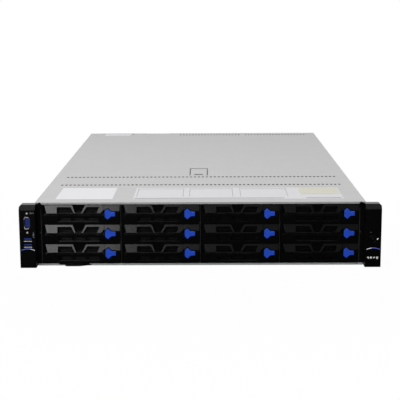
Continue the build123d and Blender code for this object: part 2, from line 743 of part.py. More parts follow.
def release_button():
    """Fish-shaped push pad on a stem that runs in the bezel."""
    left = BUTTON_LEFT
    middle = BUTTON_MIDDLE
    head = left + BUTTON_HEAD
    neck = left + BUTTON_NECK
    tail = left + BUTTON_LENGTH
    upper = [
        (left, BUTTON_NOSE_HEIGHT / 2),
        (head, BUTTON_HEAD_HEIGHT / 2),
        (neck, BUTTON_NECK_HEIGHT / 2),
        (tail, BUTTON_TAIL_HEIGHT / 2),
    ]
    points = [(x, middle + z) for x, z in upper] + [(x, middle - z) for x, z in reversed(upper)]
    back = BEZEL_FACE - TOUCH_GAP
    pad = seen_from_front(outline(*points), back - BUTTON_THICK, back)
    stem = window(
        head - STEM_WIDTH / 2, head + STEM_WIDTH / 2, middle - STEM_HEIGHT / 2, middle + STEM_HEIGHT / 2
    )
    return pad + seen_from_front(stem, back, back + STEM_LENGTH)


# Ears with their sockets and button

def ear_housing():
    """Moulded cap of the right ear; the left one is its mirror image."""
    profile = outline(
        (-EAR_PLATE, EAR_BOTTOM),
        (EAR_FACE, EAR_BOTTOM),
        (EAR_FACE, BODY_HEIGHT - EAR_SLOPE_DROP),
        (EAR_FACE + EAR_SLOPE_RUN, BODY_HEIGHT),
        (-EAR_PLATE, BODY_HEIGHT),
    )
    outer = EAR_INNER + EAR_WIDTH
    cap = seen_from_side(profile, EAR_INNER, outer)
    corner = outline(
        (outer - EAR_CORNER, BODY_HEIGHT), (outer, BODY_HEIGHT - EAR_CORNER), (outer, BODY_HEIGHT)
    )
    cap -= seen_from_front(corner, EAR_FACE, -EAR_PLATE)
    left = EAR_INNER + EAR_PAD_MARGIN
    right = outer - EAR_PAD_MARGIN
    base = EAR_BOTTOM + EAR_PAD_MARGIN
    edge = BODY_HEIGHT - EAR_PAD_DROP
    sides = Polyline((left, edge), (left, base), (right, base), (right, edge))
    crown = ThreePointArc((right, edge), ((left + right) / 2, edge + EAR_PAD_CROWN), (left, edge))
    return cap + seen_from_front(make_face([sides, crown]), EAR_FACE - EAR_PAD, EAR_FACE)


def ear_bracket():
    """Steel plate behind the cap, with a tab along the side wall."""
    outer = EAR_INNER + EAR_WIDTH
    top = BODY_HEIGHT - EAR_SLOPE_DROP
    bracket = seen_from_front(window(EAR_INNER, outer, EAR_BOTTOM, top), -EAR_PLATE, 0)
    tab_top = BODY_HEIGHT - 2 * EAR_SLOPE_DROP
    tab = window(HALF, HALF + SHEET, EAR_BOTTOM + EAR_SLOPE_DROP, tab_top)
    bracket += seen_from_front(tab, 0, EAR_TAB_LENGTH)
    relief = window(HALF + SHEET, HALF + SHEET + EAR_RELIEF, EAR_BOTTOM, top)
    return bracket - seen_from_front(relief, -TOUCH_GAP, 0)


def d_shape(width, height):
    """Outline of a video plug, its long side towards the left."""
    half_w, half_h = width / 2, height / 2
    short = half_h - VGA_TAPER
    shell = outline((-half_w, -half_h), (half_w, -short), (half_w, short), (-half_w, half_h))
    return fillet(shell.vertices(), min(VGA_CORNER, width / 3))


def jack_hexagon(side):
    return Pos(VGA_X, VGA_Z + side * JACK_SPACING) * RegularPolygon(JACK_RADIUS, 6)


def video_socket():
    port_front = EAR_FACE - PORT_PROUD
    port_back = port_front + PORT_DEPTH
    outer = Pos(VGA_X, VGA_Z) * d_shape(VGA_WIDTH, VGA_HEIGHT)
    thin = 2 * VGA_SHELL
    hollow = Pos(VGA_X, VGA_Z) * d_shape(VGA_WIDTH - thin, VGA_HEIGHT - thin)
    shrink = 2 * (VGA_SHELL + VGA_CORE_GAP)
    core = Pos(VGA_X, VGA_Z) * d_shape(VGA_WIDTH - shrink, VGA_HEIGHT - shrink)
    shell = seen_from_front(outer, port_front, port_back)
    shell -= seen_from_front(hollow, port_front, port_back - VGA_SHELL)
    block = seen_from_front(core, port_front + VGA_CORE_SETBACK, port_back - VGA_SHELL)
    jacks = [seen_from_front(jack_hexagon(side), port_front, port_back) for side in (-1, 1)]
    return [shell, block, *jacks]


def usb_heights():
    return [BODY_HEIGHT - drop for drop in USB_DROPS]


def usb_socket(z):
    port_front = EAR_FACE - PORT_PROUD
    port_back = port_front + PORT_DEPTH
    outer = Pos(USB_X, z) * Rectangle(USB_WIDTH, USB_HEIGHT)
    hollow = Pos(USB_X, z) * Rectangle(USB_WIDTH - 2 * USB_SHELL, USB_HEIGHT - 2 * USB_SHELL)
    shell = seen_from_front(outer, port_front, port_back)
    shell -= seen_from_front(hollow, port_front, port_back - USB_SHELL)
    tongue = Pos(USB_X, z + USB_TONGUE / 2) * Rectangle(
        USB_WIDTH - 2 * USB_SHELL - 2 * USB_TONGUE_MARGIN, USB_TONGUE
    )
    return shell + seen_from_front(tongue, port_front + USB_TONGUE_MARGIN, port_back - USB_SHELL)


def left_ear_housing():
    cap = mirror(ear_housing(), Plane.YZ)
    port_back = EAR_FACE - PORT_PROUD + PORT_DEPTH
    cut = Pos(VGA_X, VGA_Z) * d_shape(VGA_WIDTH, VGA_HEIGHT)
    cap -= seen_from_front(cut, EAR_FACE, port_back)
    for side in (-1, 1):
        cap -= seen_from_front(jack_hexagon(side), EAR_FACE, port_back)
    for z in usb_heights():
        cap -= seen_from_front(Pos(USB_X, z) * Rectangle(USB_WIDTH, USB_HEIGHT), EAR_FACE, port_back)
    return cap


def right_ear_housing():
    well_back = EAR_FACE - POWER_PROUD + POWER_DEPTH + POWER_TRAVEL + TOUCH_GAP
    well = Pos(POWER_X, POWER_Z) * Circle(POWER_RADIUS + TOUCH_GAP)
    return ear_housing() - seen_from_front(well, EAR_FACE, well_back)


def power_button():
    front = EAR_FACE - POWER_PROUD
    return round_bar(POWER_X, POWER_Z, POWER_RADIUS, front, front + POWER_DEPTH)


def asset_tag():
    """Pull tab on a card that slides under the first column of bays."""
    card_bottom = SHEET + TOUCH_GAP
    front = -SHEET - TAG_REACH
    back = -SHEET - TOUCH_GAP
    grip = outline(
        (TAG_X - TAG_ROOT_LEFT, back),
        (TAG_X - TAG_TIP_LEFT, front),
        (TAG_X + TAG_TIP_RIGHT, front),
        (TAG_X + TAG_ROOT_RIGHT, back),
    )
    tab = seen_from_above(grip, card_bottom - SHEET + TOUCH_GAP, card_bottom - SHEET + TOUCH_GAP + TAG_GRIP)
    card = window(TAG_X - TAG_CARD_WIDTH / 2, TAG_X + TAG_CARD_WIDTH / 2, back, TAG_CARD_LENGTH - SLIDE_GAP)
    return tab + seen_from_above(card, card_bottom, card_bottom + TAG_CARD)


# Fans

def fan_frame(x):
    ring = Pos(x, FAN_MIDDLE) * (Rectangle(FAN_SIZE, FAN_SIZE) - Circle(FAN_BORE))
    frame = seen_from_front(ring, FAN_FRONT, FAN_REAR)
    hub = Pos(x, FAN_MIDDLE) * Circle(HUB_RADIUS)
    spoke = Pos(FAN_BORE / 2, 0) * Rectangle(FAN_BORE + STRUT_WIDTH, STRUT_WIDTH)
    for i in range(STRUTS):
        hub += Pos(x, FAN_MIDDLE) * Rot(Z=90 + i * 360 / STRUTS) * spoke
    hub &= Pos(x, FAN_MIDDLE) * Circle(FAN_BORE + STRUT_WIDTH / 2)
    return frame + seen_from_front(hub, FAN_REAR - STRUT_DEPTH, FAN_REAR)


def fan_blade():
    """Slanted blade that runs out along X from the hub, the shaft along Z."""
    root = HUB_RADIUS - BLADE_THICK
    tip = FAN_BORE - BLADE_TIP_GAP
    blade = Box(tip - root, BLADE_CHORD, BLADE_THICK)
    return Pos((root + tip) / 2, 0, 0) * Rot(X=BLADE_ANGLE) * blade


def fan_rotor(x):
    rotor = extrude(RegularPolygon(HUB_RADIUS, 3 * BLADES), amount=ROTOR_DEPTH / 2, both=True)
    rotor += [Rot(Z=i * 360 / BLADES) * fan_blade() for i in range(BLADES)]
    middle = FAN_REAR - STRUT_DEPTH - TOUCH_GAP - ROTOR_DEPTH / 2
    return Pos(x, middle, FAN_MIDDLE) * Rot(X=90) * rotor


# System board with what stands on it

def motherboard():
    edge = INSIDE - BOARD_MARGIN
    supply_edge = PSU_WALL + SHEET + BOARD_MARGIN
    back = REAR_INNER - BOARD_REAR_GAP
    plate = outline(
        (-edge, BOARD_FRONT), (edge, BOARD_FRONT), (edge, back), (supply_edge, back),
        (supply_edge, PSU_FRONT - BOARD_MARGIN), (-edge, PSU_FRONT - BOARD_MARGIN),
    )
    board = seen_from_above(plate, BOARD_BOTTOM, BOARD_TOP)
    for x in (-edge + 2 * STANDOFF_RADIUS, 0, edge - 2 * STANDOFF_RADIUS):
        for y in (BOARD_FRONT + 2 * STANDOFF_RADIUS, PSU_FRONT - 3 * STANDOFF_RADIUS - BOARD_MARGIN):
            board += seen_from_above(Pos(x, y) * RegularPolygon(STANDOFF_RADIUS, 6), SHEET, BOARD_BOTTOM)
    half = SOCKET_SIZE / 2
    for side in (-1, 1):
        x = side * SOCKET_X
        pad = window(x - half, x + half, SOCKET_Y - half, SOCKET_Y + half)
        board += seen_from_above(pad, BOARD_TOP, SINK_BOTTOM)
    return board


def rear_socket(left, width, height):
    """A metal shell on the board whose mouth comes through the rear panel."""
    front = REAR_FACE + SOCKET_PROUD - SOCKET_DEPTH
    back = REAR_FACE + SOCKET_PROUD
    shell = seen_from_front(window(left, left + width, BOARD_TOP, BOARD_TOP + height), front, back)
    mouth = window(
        left + SOCKET_WALL, left + width - SOCKET_WALL,
        BOARD_TOP + SOCKET_WALL, BOARD_TOP + height - SOCKET_WALL,
    )
    return shell - seen_from_front(mouth, front + SOCKET_WALL, back)


def heat_sink(side):
    pitch = (SINK_WIDTH - SINK_FIN) / (SINK_FINS - 1)
    left = side * SOCKET_X - SINK_WIDTH / 2
    profile = window(left, left + SINK_WIDTH, SINK_BOTTOM, SINK_BOTTOM + SINK_BASE)
    for i in range(SINK_FINS):
        fin = left + i * pitch
        profile += window(fin, fin + SINK_FIN, SINK_BOTTOM, SINK_TOP)
    return seen_from_front(profile, SOCKET_Y - SINK_LENGTH / 2, SOCKET_Y + SINK_LENGTH / 2)


def memory_bank(socket_side, bank_side):
    start = socket_side * SOCKET_X + bank_side * BANK_FROM_SOCKET
    solids = []
    for i in range(MODULES_PER_BANK):
        x = start + bank_side * i * MODULE_PITCH
        strip = window(x - MODULE_THICK / 2, x + MODULE_THICK / 2, BOARD_TOP, BOARD_TOP + MODULE_HEIGHT)
        solids.append(seen_from_front(strip, SOCKET_Y - MODULE_LENGTH / 2, SOCKET_Y + MODULE_LENGTH / 2))
    return solids


# Expansion cages and slot blanks

def riser_slot_heights():
    """Bottom and top of each card slot of a riser cage."""
    bottoms = [RISER_BOTTOM + i * RISER_PITCH_Z for i in range(RISER_SLOTS)]
    return [(z + RISER_SLOT_RIB / 2, z + RISER_PITCH_Z - RISER_SLOT_RIB / 2) for z in bottoms]


def riser_cage(left, right):
    """Bent sheet with a slotted rear plate, a top and one side."""
    plate = window(left + SLIDE_GAP, right - SLIDE_GAP, RISER_BOTTOM + SLIDE_GAP, RISER_TOP - SLIDE_GAP)
    for bottom, top in riser_slot_heights():
        plate -= window(left + RISER_SLOT_MARGIN, right - RISER_SLOT_MARGIN, bottom, top)
    cage = seen_from_front(plate, REAR_INNER, REAR_FACE)
    ceiling = RISER_TOP - SLIDE_GAP
    side = window(left + SLIDE_GAP, left + SLIDE_GAP + SHEET, RISER_BOTTOM + SLIDE_GAP, ceiling)
    roof = window(left + SLIDE_GAP, right - SLIDE_GAP, ceiling - SHEET, ceiling)
    return cage + seen_from_front(side + roof, REAR_INNER - RISER_LENGTH, REAR_INNER)


def blank_plate(left, right, bottom, top):
    """Plate that closes an empty card slot from inside."""
    edge = BLANK_BORDER
    plate = window(left - edge, right + edge, bottom - edge, top + edge)
    return seen_from_front(plate, REAR_INNER - BLANK_SHEET, REAR_INNER)


def slot_blanks():
    blanks = [
        blank_plate(left, left + LOW_SLOT_WIDTH, LOW_SLOT_BOTTOM, LOW_SLOT_TOP) for left in low_slot_lefts()
    ]
    for left, right in riser_sides():
        for bottom, top in riser_slot_heights():
            blanks.append(blank_plate(left + RISER_SLOT_MARGIN, right - RISER_SLOT_MARGIN, bottom, top))
    return blanks


# Power supplies

def supply_case(level):
    middle = level + PSU_HEIGHT / 2
    face = window(PSU_LEFT, PSU_RIGHT, level, level + PSU_HEIGHT)
    case = seen_from_front(face, PSU_FRONT, REAR_FACE)
    inlet = Pos(PSU_MIDDLE + INLET_X, middle) * Rectangle(INLET_WIDTH, INLET_HEIGHT)
    inlet = chamfer(inlet.vertices().sort_by(Axis.Y)[-2:], INLET_CORNER)
    case -= seen_from_front(inlet, REAR_FACE - INLET_DEPTH, REAR_FACE)
    radius = PSU_HEIGHT / 2 - PSU_GRILLE_RIM
    front = REAR_FACE - PSU_GRILLE_DEPTH
    return case - round_bar(PSU_MIDDLE + PSU_GRILLE_X, middle, radius, front, REAR_FACE)


def supply_grip(level):
    """Bent strap that stands out between the inlet and the fan."""
    right = PSU_MIDDLE + INLET_X - INLET_WIDTH / 2 - PSU_GRIP_GAP
    low = level + PSU_GRIP_THICK
    high = level + PSU_HEIGHT - PSU_GRIP_THICK
    reach = REAR_FACE + PSU_GRIP_REACH
    slope = 2 * PSU_GRIP_THICK
    thick = PSU_GRIP_THICK
    corner = slope + thick / 2
    outside = outline(
        (REAR_FACE, low), (reach - slope, low), (reach, low + slope),
        (reach, high - slope), (reach - slope, high), (REAR_FACE, high),
    )
    inside = outline(
        (REAR_FACE, low + thick), (reach - corner, low + thick), (reach - thick, low + corner),
        (reach - thick, high - corner), (reach - corner, high - thick), (REAR_FACE, high - thick),
    )
    return seen_from_side(outside - inside, right - PSU_GRIP_WIDTH, right)


def power_latch(level):
    """Sprung tab beside the inlet that is squeezed towards the grip."""
    middle = level + PSU_HEIGHT / 2
    right = PSU_RIGHT - SLIDE_GAP
    half = PSU_LATCH_HEIGHT / 2
    back = REAR_FACE + PSU_LATCH_REACH
    left = right - PSU_LATCH_WIDTH
    profile = outline(
        (right - PSU_LATCH_THICK, REAR_FACE + TOUCH_GAP), (right, REAR_FACE + TOUCH_GAP), (right, back),
        (left, back), (left, back - PSU_LATCH_THICK), (right - PSU_LATCH_THICK, back - PSU_LATCH_THICK),
    )
    return seen_from_above(profile, middle - half, middle + half)


# Every node

save("chassis_tub", *chassis_tub())
save("front_cover", front_cover())
save("rear_cover", rear_cover())
save("cover_latch", cover_latch())
save("drive_cage", drive_cage())
save("backplane", backplane())
save("fan_frames", *[fan_frame(x) for x in fan_middles()])
for number, fan_x in enumerate(fan_middles(), 1):
    save(f"fan_rotor_{number}", fan_rotor(fan_x))
save("motherboard", motherboard(), *[rear_socket(*span) for span in socket_spans()])
save("heat_sinks", heat_sink(-1), heat_sink(1))
banks = [memory_bank(s, b) for s in (-1, 1) for b in (-1, 1)]
save("memory_modules", *[module for bank in banks for module in bank])
save("riser_cages", *[riser_cage(*sides) for sides in riser_sides()], *slot_blanks())
for number, psu_level in enumerate(PSU_LEVELS, 1):
    save(f"power_supply_{number}", supply_case(psu_level), supply_grip(psu_level))
    save(f"supply_latch_{number}", power_latch(psu_level))
save("left_ear", left_ear_housing(), mirror(ear_bracket(), Plane.YZ))
save("right_ear", right_ear_housing(), ear_bracket())
save("front_ports", *video_socket(), *[usb_socket(z) for z in usb_heights()])
save("power_button", power_button())
save("asset_tag", asset_tag())

frame_shape, drive_shape = tray_frame(), drive()
handle_shape, button_shape = handle(), release_button()
for bay_column, bay_row in every_bay():
    bay_x, bay_z = bay_middle(bay_column, bay_row)
    place = Pos(bay_x, 0, bay_z)
    tag = f"r{bay_row + 1}_c{bay_column + 1}"
    save(f"tray_{tag}", place * frame_shape, place * drive_shape)
    save(f"handle_{tag}", place * handle_shape)
    save(f"release_{tag}", place * button_shape)
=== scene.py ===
# %% [markdown]
# # A two-unit rack server
#
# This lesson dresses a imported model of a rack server: a flat steel box with twelve
# drive trays in front, two black moulded ears, and a grey cover with vent slots. We
# give each one a finish, put rounded copies over the moulded parts, and add the
# small things that solids leave out, such as grilles, labels, pins and screws.
# Lengths are metres in Blender, so a helper turns millimetres into metres wherever
# a real size is written.

# %% Load the frame
import json
import math

import bmesh
import bpy
from mathutils import Matrix, Vector


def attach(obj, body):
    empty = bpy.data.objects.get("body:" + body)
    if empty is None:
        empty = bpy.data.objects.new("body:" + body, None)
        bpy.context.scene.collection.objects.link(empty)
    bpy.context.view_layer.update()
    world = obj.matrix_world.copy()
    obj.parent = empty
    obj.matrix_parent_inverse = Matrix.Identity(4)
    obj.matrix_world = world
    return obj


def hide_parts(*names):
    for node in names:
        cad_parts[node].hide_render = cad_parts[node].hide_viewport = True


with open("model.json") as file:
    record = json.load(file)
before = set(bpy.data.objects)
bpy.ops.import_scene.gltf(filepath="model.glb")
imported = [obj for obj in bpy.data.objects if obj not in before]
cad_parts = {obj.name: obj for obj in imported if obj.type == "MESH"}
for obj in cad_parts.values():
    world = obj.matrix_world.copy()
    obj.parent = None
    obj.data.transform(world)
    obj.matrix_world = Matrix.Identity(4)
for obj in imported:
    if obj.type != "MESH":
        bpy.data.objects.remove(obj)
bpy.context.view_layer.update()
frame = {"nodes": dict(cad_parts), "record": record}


# %% Millimetres and colours
MM = 0.001


def metres(*lengths):
    """Millimetres to a tuple of metres."""
    return tuple(length * MM for length in lengths)


def colour(text):
    """An sRGB hex colour as the linear colour that Blender's sockets take."""
    channels = [int(text[i:i + 2], 16) / 255 for i in (1, 3, 5)]
    linear = [c / 12.92 if c <= 0.04045 else ((c + 0.055) / 1.055) ** 2.4 for c in channels]
    return (*linear, 1.0)


def add(tree, kind, inputs=None, **settings):
    """Add one node. inputs gives each socket a value, or the output that feeds it."""
    node = tree.nodes.new(kind)
    for name, value in settings.items():
        setattr(node, name, value)
    for key, value in (inputs or {}).items():
        if isinstance(value, bpy.types.NodeSocket):
            tree.links.new(value, node.inputs[key])
        else:
            node.inputs[key].default_value = value
    return node


# %% [markdown]
# ## The camera
#
# The photograph was taken from a little above, straight on, with a long lens. The
# place and angles below come from lining up the corners of the chassis, the bays
# and the ears, whose real sizes are known. A camera could also be aimed at a target
# object, but a written rotation keeps the small roll of the real camera.

# %% Camera
CAMERA_PLACE = metres(9.6, -1407.5, 362.1)
CAMERA_YAW = math.radians(-0.40)
CAMERA_PITCH = math.radians(10.95)
CAMERA_ROLL = math.radians(-0.26)
FOCAL_PIXELS = 1067.4
IMAGE_PIXELS = 400
SENSOR = 36.0

ahead = Vector((
    math.sin(CAMERA_YAW) * math.cos(CAMERA_PITCH),
    math.cos(CAMERA_YAW) * math.cos(CAMERA_PITCH),
    -math.sin(CAMERA_PITCH),
))
level = Vector((math.cos(CAMERA_YAW), -math.sin(CAMERA_YAW), 0.0))
upward = level.cross(ahead)
right = level * math.cos(CAMERA_ROLL) + upward * math.sin(CAMERA_ROLL)
top = upward * math.cos(CAMERA_ROLL) - level * math.sin(CAMERA_ROLL)
camera_data = bpy.data.cameras.new("camera")
camera_data.sensor_width = SENSOR
camera_data.lens = FOCAL_PIXELS / IMAGE_PIXELS * SENSOR
camera = bpy.data.objects.new("camera", camera_data)
camera.matrix_world = Matrix.Translation(CAMERA_PLACE) @ Matrix((right, top, -ahead)).transposed().to_4x4()
bpy.context.scene.collection.objects.link(camera)
bpy.context.scene.camera = camera
bpy.context.scene.view_settings.view_transform = "Standard"
print("lens in mm:", round(camera_data.lens, 1))


# %% [markdown]
# ## Studio
#
# The object stands on white with hardly a shadow, so the floor and the world are
# white where the camera sees them. Black plastic shows what is around it: it is
# bright behind the server, where the ear tops glance at the backdrop, and dark in
# front, so the tray fronts stay black. One soft box up in front on the left is what
# the leaning faces of the handles catch, brighter in the left columns than in the
# right ones.

# %% World, floor and lamps
AMBIENT = 0.32
BACKDROP_GLOSS = 1.0
FRONT_GLOSS = 0.15
FLOOR_GLOSS = 0.02
FLOOR_SIZE = 8.0
FLOOR_ALBEDO = "#D4D4D4"
FLOOR_SHOW = 0.97
SHADOW_NEAR = 0.25
SHADOW_FAR = 0.60
HORIZON_BLEND = 0.25
MIRROR_NEAR = 0.05
MIRROR_FAR = 0.35
WHITE = (1, 1, 1, 1)


def kinds_of_ray(tree):
    """1 for rays that see the white studio, and 1 for rays that a shiny face sends out."""
    rays = add(tree, "ShaderNodeLightPath")
    direct = add(tree, "ShaderNodeMath", {
        0: rays.outputs["Is Camera Ray"], 1: rays.outputs["Is Transmission Ray"],
    }, operation="MAXIMUM")
    return direct.outputs[0], rays.outputs["Is Glossy Ray"]


world = bpy.data.worlds.new("studio")
bpy.context.scene.world = world
world.use_nodes = True
tree = world.node_tree
tree.nodes.clear()
direct, glossy = kinds_of_ray(tree)
sight = add(tree, "ShaderNodeTexCoord")
parts = add(tree, "ShaderNodeSeparateXYZ", {0: sight.outputs["Generated"]})
behind = add(tree, "ShaderNodeMapRange", {
    "Value": parts.outputs["Y"], "From Min": -HORIZON_BLEND, "From Max": HORIZON_BLEND,
    "To Min": FRONT_GLOSS, "To Max": BACKDROP_GLOSS,
})
soft = add(tree, "ShaderNodeMix", {
    0: glossy, 2: AMBIENT, 3: behind.outputs[0],
}, data_type="FLOAT")
strength = add(tree, "ShaderNodeMix", {0: direct, 2: soft.outputs[0], 3: 1.0}, data_type="FLOAT")
sky = add(tree, "ShaderNodeBackground", {"Color": WHITE, "Strength": strength.outputs[0]})
add(tree, "ShaderNodeOutputWorld", {"Surface": sky.outputs[0]})

floor_mesh = bpy.data.meshes.new("floor")
half = FLOOR_SIZE / 2
floor_corners = [(-half, -half, 0), (half, -half, 0), (half, half, 0), (-half, half, 0)]
floor_mesh.from_pydata(floor_corners, [], [(0, 1, 2, 3)])
floor = bpy.data.objects.new("floor", floor_mesh)
bpy.context.scene.collection.objects.link(floor)
sweep = bpy.data.materials.new("white_sweep")
sweep.use_nodes = True
tree = sweep.node_tree
tree.nodes.clear()
direct, glossy = kinds_of_ray(tree)
matt = add(tree, "ShaderNodeBsdfDiffuse", {"Color": colour(FLOOR_ALBEDO)})
glow = add(tree, "ShaderNodeEmission", {"Color": WHITE, "Strength": 1.0})
spot = add(tree, "ShaderNodeTexCoord").outputs["Object"]
reach = add(tree, "ShaderNodeVectorMath", {0: spot}, operation="LENGTH").outputs["Value"]
bare = add(tree, "ShaderNodeMapRange", {
    "Value": reach, "From Min": SHADOW_NEAR, "From Max": SHADOW_FAR, "To Min": FLOOR_SHOW, "To Max": 1.0,
})
share = add(tree, "ShaderNodeMath", {0: direct, 1: bare.outputs[0]}, operation="MULTIPLY")
blend = add(tree, "ShaderNodeMixShader", {0: share.outputs[0], 1: matt.outputs[0], 2: glow.outputs[0]})
depth = add(tree, "ShaderNodeSeparateXYZ", {0: spot}).outputs["Y"]
mirrored = add(tree, "ShaderNodeMapRange", {
    "Value": depth, "From Min": MIRROR_NEAR, "From Max": MIRROR_FAR,
    "To Min": FLOOR_GLOSS, "To Max": BACKDROP_GLOSS,
})
seen = add(tree, "ShaderNodeEmission", {"Color": WHITE, "Strength": mirrored.outputs[0]})
blend = add(tree, "ShaderNodeMixShader", {0: glossy, 1: blend.outputs[0], 2: seen.outputs[0]})
add(tree, "ShaderNodeOutputMaterial", {"Surface": blend.outputs[0]})
floor_mesh.materials.append(sweep)


def soft_box(name, place, aim, size, power):
    """A rectangular area lamp that points at a spot."""
    lamp = bpy.data.lights.new(name, "AREA")
    lamp.shape = "RECTANGLE"
    lamp.size, lamp.size_y = size
    lamp.energy = power
    item = bpy.data.objects.new(name, lamp)
    item.location = place
    item.rotation_euler = (Vector(aim) - Vector(place)).to_track_quat("-Z", "Y").to_euler()
    bpy.context.scene.collection.objects.link(item)
    return item


soft_box("overhead", (-0.3, -0.1, 1.7), (0, 0.25, 0.08), (1.8, 1.2), 24)
soft_box("front_left", (-0.68, -1.70, 0.62), (-0.1, 0, 0.05), (0.75, 0.36), 5)


# %% [markdown]
# ## Finishes
#
# Each finish starts from what the real one is. Galvanised sheet has a pale, slightly
# mottled zinc skin. The mouldings are black ABS from a spark-eroded tool, so their
# grain is fine and their shine is low. The buttons are satin blue ABS. The cage and
# the ear plates are powder coated. One function makes them all: a base colour that
# wanders a little over a real distance, and a bump whose grain is a real size.

# %% Finishes
def finish(name, base, shade, roughness, metallic, grain_mm, bump_mm, mottle_mm, specular=0.5, glow=0.0):
    """A finish whose colour wanders from base to shade, with a fine grain on top."""
    material = bpy.data.materials.new(name)
    material.use_nodes = True
    tree = material.node_tree
    tree.nodes.clear()
    place = add(tree, "ShaderNodeTexCoord").outputs["Object"]
    mottle = add(tree, "ShaderNodeTexNoise", {
        "Vector": place, "Scale": 1 / (mottle_mm * MM), "Detail": 3.0, "Roughness": 0.55,
    })
    tone = add(tree, "ShaderNodeMix", {
        0: mottle.outputs["Fac"], 6: colour(base), 7: colour(shade),
    }, data_type="RGBA")
    grain = add(tree, "ShaderNodeTexNoise", {
        "Vector": place, "Scale": 1 / (grain_mm * MM), "Detail": 2.0, "Roughness": 0.5,
    })
    dull = add(tree, "ShaderNodeMapRange", {
        "Value": grain.outputs["Fac"], "From Min": 0.3, "From Max": 0.7,
        "To Min": roughness - 0.05, "To Max": roughness + 0.05,
    })
    relief = add(tree, "ShaderNodeBump", {
        "Height": grain.outputs["Fac"], "Strength": 0.5, "Distance": bump_mm * MM,
    })
    shader = add(tree, "ShaderNodeBsdfPrincipled", {
        "Base Color": tone.outputs[2], "Roughness": dull.outputs[0], "Metallic": metallic,
        "Normal": relief.outputs[0], "Specular IOR Level": specular,
        "Emission Color": tone.outputs[2], "Emission Strength": glow,
    })
    add(tree, "ShaderNodeOutputMaterial", {"Surface": shader.outputs[0]})
    return material


# Base, shade, roughness, metallic, grain, bump, mottle, and where given specular and glow
FINISHES = {
    # Zinc-coated cover sheet: pale, faintly mottled by its spangle, soft gloss
    "cover_zinc": ("#BDBCBC", "#B6B6B6", 0.50, 0.20, 1.6, 0.010, 26),
    # The same sheet on the tub, paler and less metallic than the cover: painted light, so that the front lip
    # shows the light the floor throws up
    "tub_zinc": ("#D6D7D7", "#CCCDCE", 0.48, 0.25, 1.6, 0.012, 18),
    # Powder coat over steel: orange-peel grain about a millimetre wide
    "black_powder": ("#040405", "#070708", 0.45, 0.0, 1.1, 0.02, 12, 0.2),
    # Spark-eroded black ABS: finer grain, a low even sheen
    "black_abs": ("#020202", "#030303", 0.24, 0.0, 0.5, 0.005, 15, 0.5),
    # Smooth black ABS of the ears
    "ear_abs": ("#020202", "#030303", 0.30, 0.0, 0.5, 0.006, 15, 0.34),
    # Satin blue ABS of everything a hand may press
    "touch_blue": ("#1650D8", "#1248C8", 0.34, 0.0, 0.5, 0.006, 8, 0.4),
    # Bright nickel of socket shells and screws
    "nickel": ("#C9CACC", "#BFC0C2", 0.24, 1.0, 0.8, 0.003, 6),
    # Solder mask over fibreglass
    "board_green": ("#0F4A2B", "#0C3F25", 0.35, 0.0, 1.0, 0.01, 9),
    # Extruded aluminium fins
    "fin_metal": ("#C3C5C8", "#B8BABD", 0.32, 1.0, 0.6, 0.004, 10),
    # Glass-filled black of fans and connectors
    "fan_black": ("#111112", "#161617", 0.5, 0.0, 0.7, 0.01, 10, 0.3),
    # Coated label paper
    "label_white": ("#DFDFE2", "#DBDBDE", 0.55, 0.0, 0.4, 0.002, 20, 0.3),
    # A tinted field printed on a label
    "label_cream": ("#CFCDBF", "#CAC8B9", 0.55, 0.0, 0.4, 0.002, 20, 0.3),
    # Printed grey, as of ruled lines
    "ink_grey": ("#A3A3A7", "#9A9A9E", 0.6, 0.0, 0.4, 0.002, 20, 0.3),
    # Socket plastic in the video blue
    "socket_blue": ("#1F3C9C", "#1A3590", 0.4, 0.0, 0.4, 0.004, 5, 0.35),
    # Matt black, mostly painted shade of deep holes, slots and gaps
    "hole_black": ("#020202", "#030303", 0.8, 0.0, 0.6, 0.004, 9, 0.1),
    # Perforated steel with a thin black coat
    "grille_steel": ("#0A0A0B", "#0E0E0F", 0.38, 0.0, 0.6, 0.006, 8, 0.4),
    # Thin label film through which some of the zinc shows
    "label_pale": ("#D2D1D4", "#CECDD0", 0.5, 0.0, 0.4, 0.002, 20, 0.35),
    # Sheared edge of coated steel, also used for the painted shade line round the latch well
    "cut_edge": ("#5E6064", "#4E5053", 0.5, 0.6, 0.4, 0.004, 5),
    # Brushed lip of a socket shell, also used for painted highlights on the video socket's shell
    "lip_metal": ("#D9D5CD", "#CFCBC3", 0.4, 0.1, 0.6, 0.004, 5),
    # Clear strip that glows blue
    "guide_blue": ("#5A66C8", "#4E5ABC", 0.25, 0.0, 0.4, 0.002, 5, 0.5, 0.5),
    # Clear strip where it is unlit, given a glow as a painted highlight
    "guide_clear": ("#C9CDD8", "#BEC2CE", 0.25, 0.0, 0.4, 0.002, 5, 0.5, 0.5),
    # Status signs that are lit from behind; also a painted highlight on the power ring
    "sign_lit": ("#D8D8D4", "#CECECA", 0.4, 0.0, 0.3, 0.002, 5, 0.3, 0.6),
    # A sign that shows only when it is lit
    "sign_dim": ("#2A2B2D", "#242527", 0.4, 0.0, 0.3, 0.002, 5, 0.3),
    # Grey pad-printed marks
    "mark_grey": ("#8A8C90", "#808286", 0.5, 0.0, 0.3, 0.002, 5, 0.3),
    # Flash gold of socket contacts
    "gold": ("#D9B45A", "#CDA84E", 0.25, 1.0, 0.5, 0.002, 4),
    # Green lens of a supply light
    "light_green": ("#2F8F4A", "#2A8443", 0.2, 0.0, 0.5, 0.002, 4),
}
MATERIALS = {name: finish(name, *look) for name, look in FINISHES.items()}
print("finishes:", len(MATERIALS))


# %% [markdown]
# ## Finishes on the solids
#
# A solid whose shape is right stays and only gets its material. The record already
# says which slot a node has, so a small table goes from slot to finish, and a few
# nodes that need another finish than their slot are named one by one.

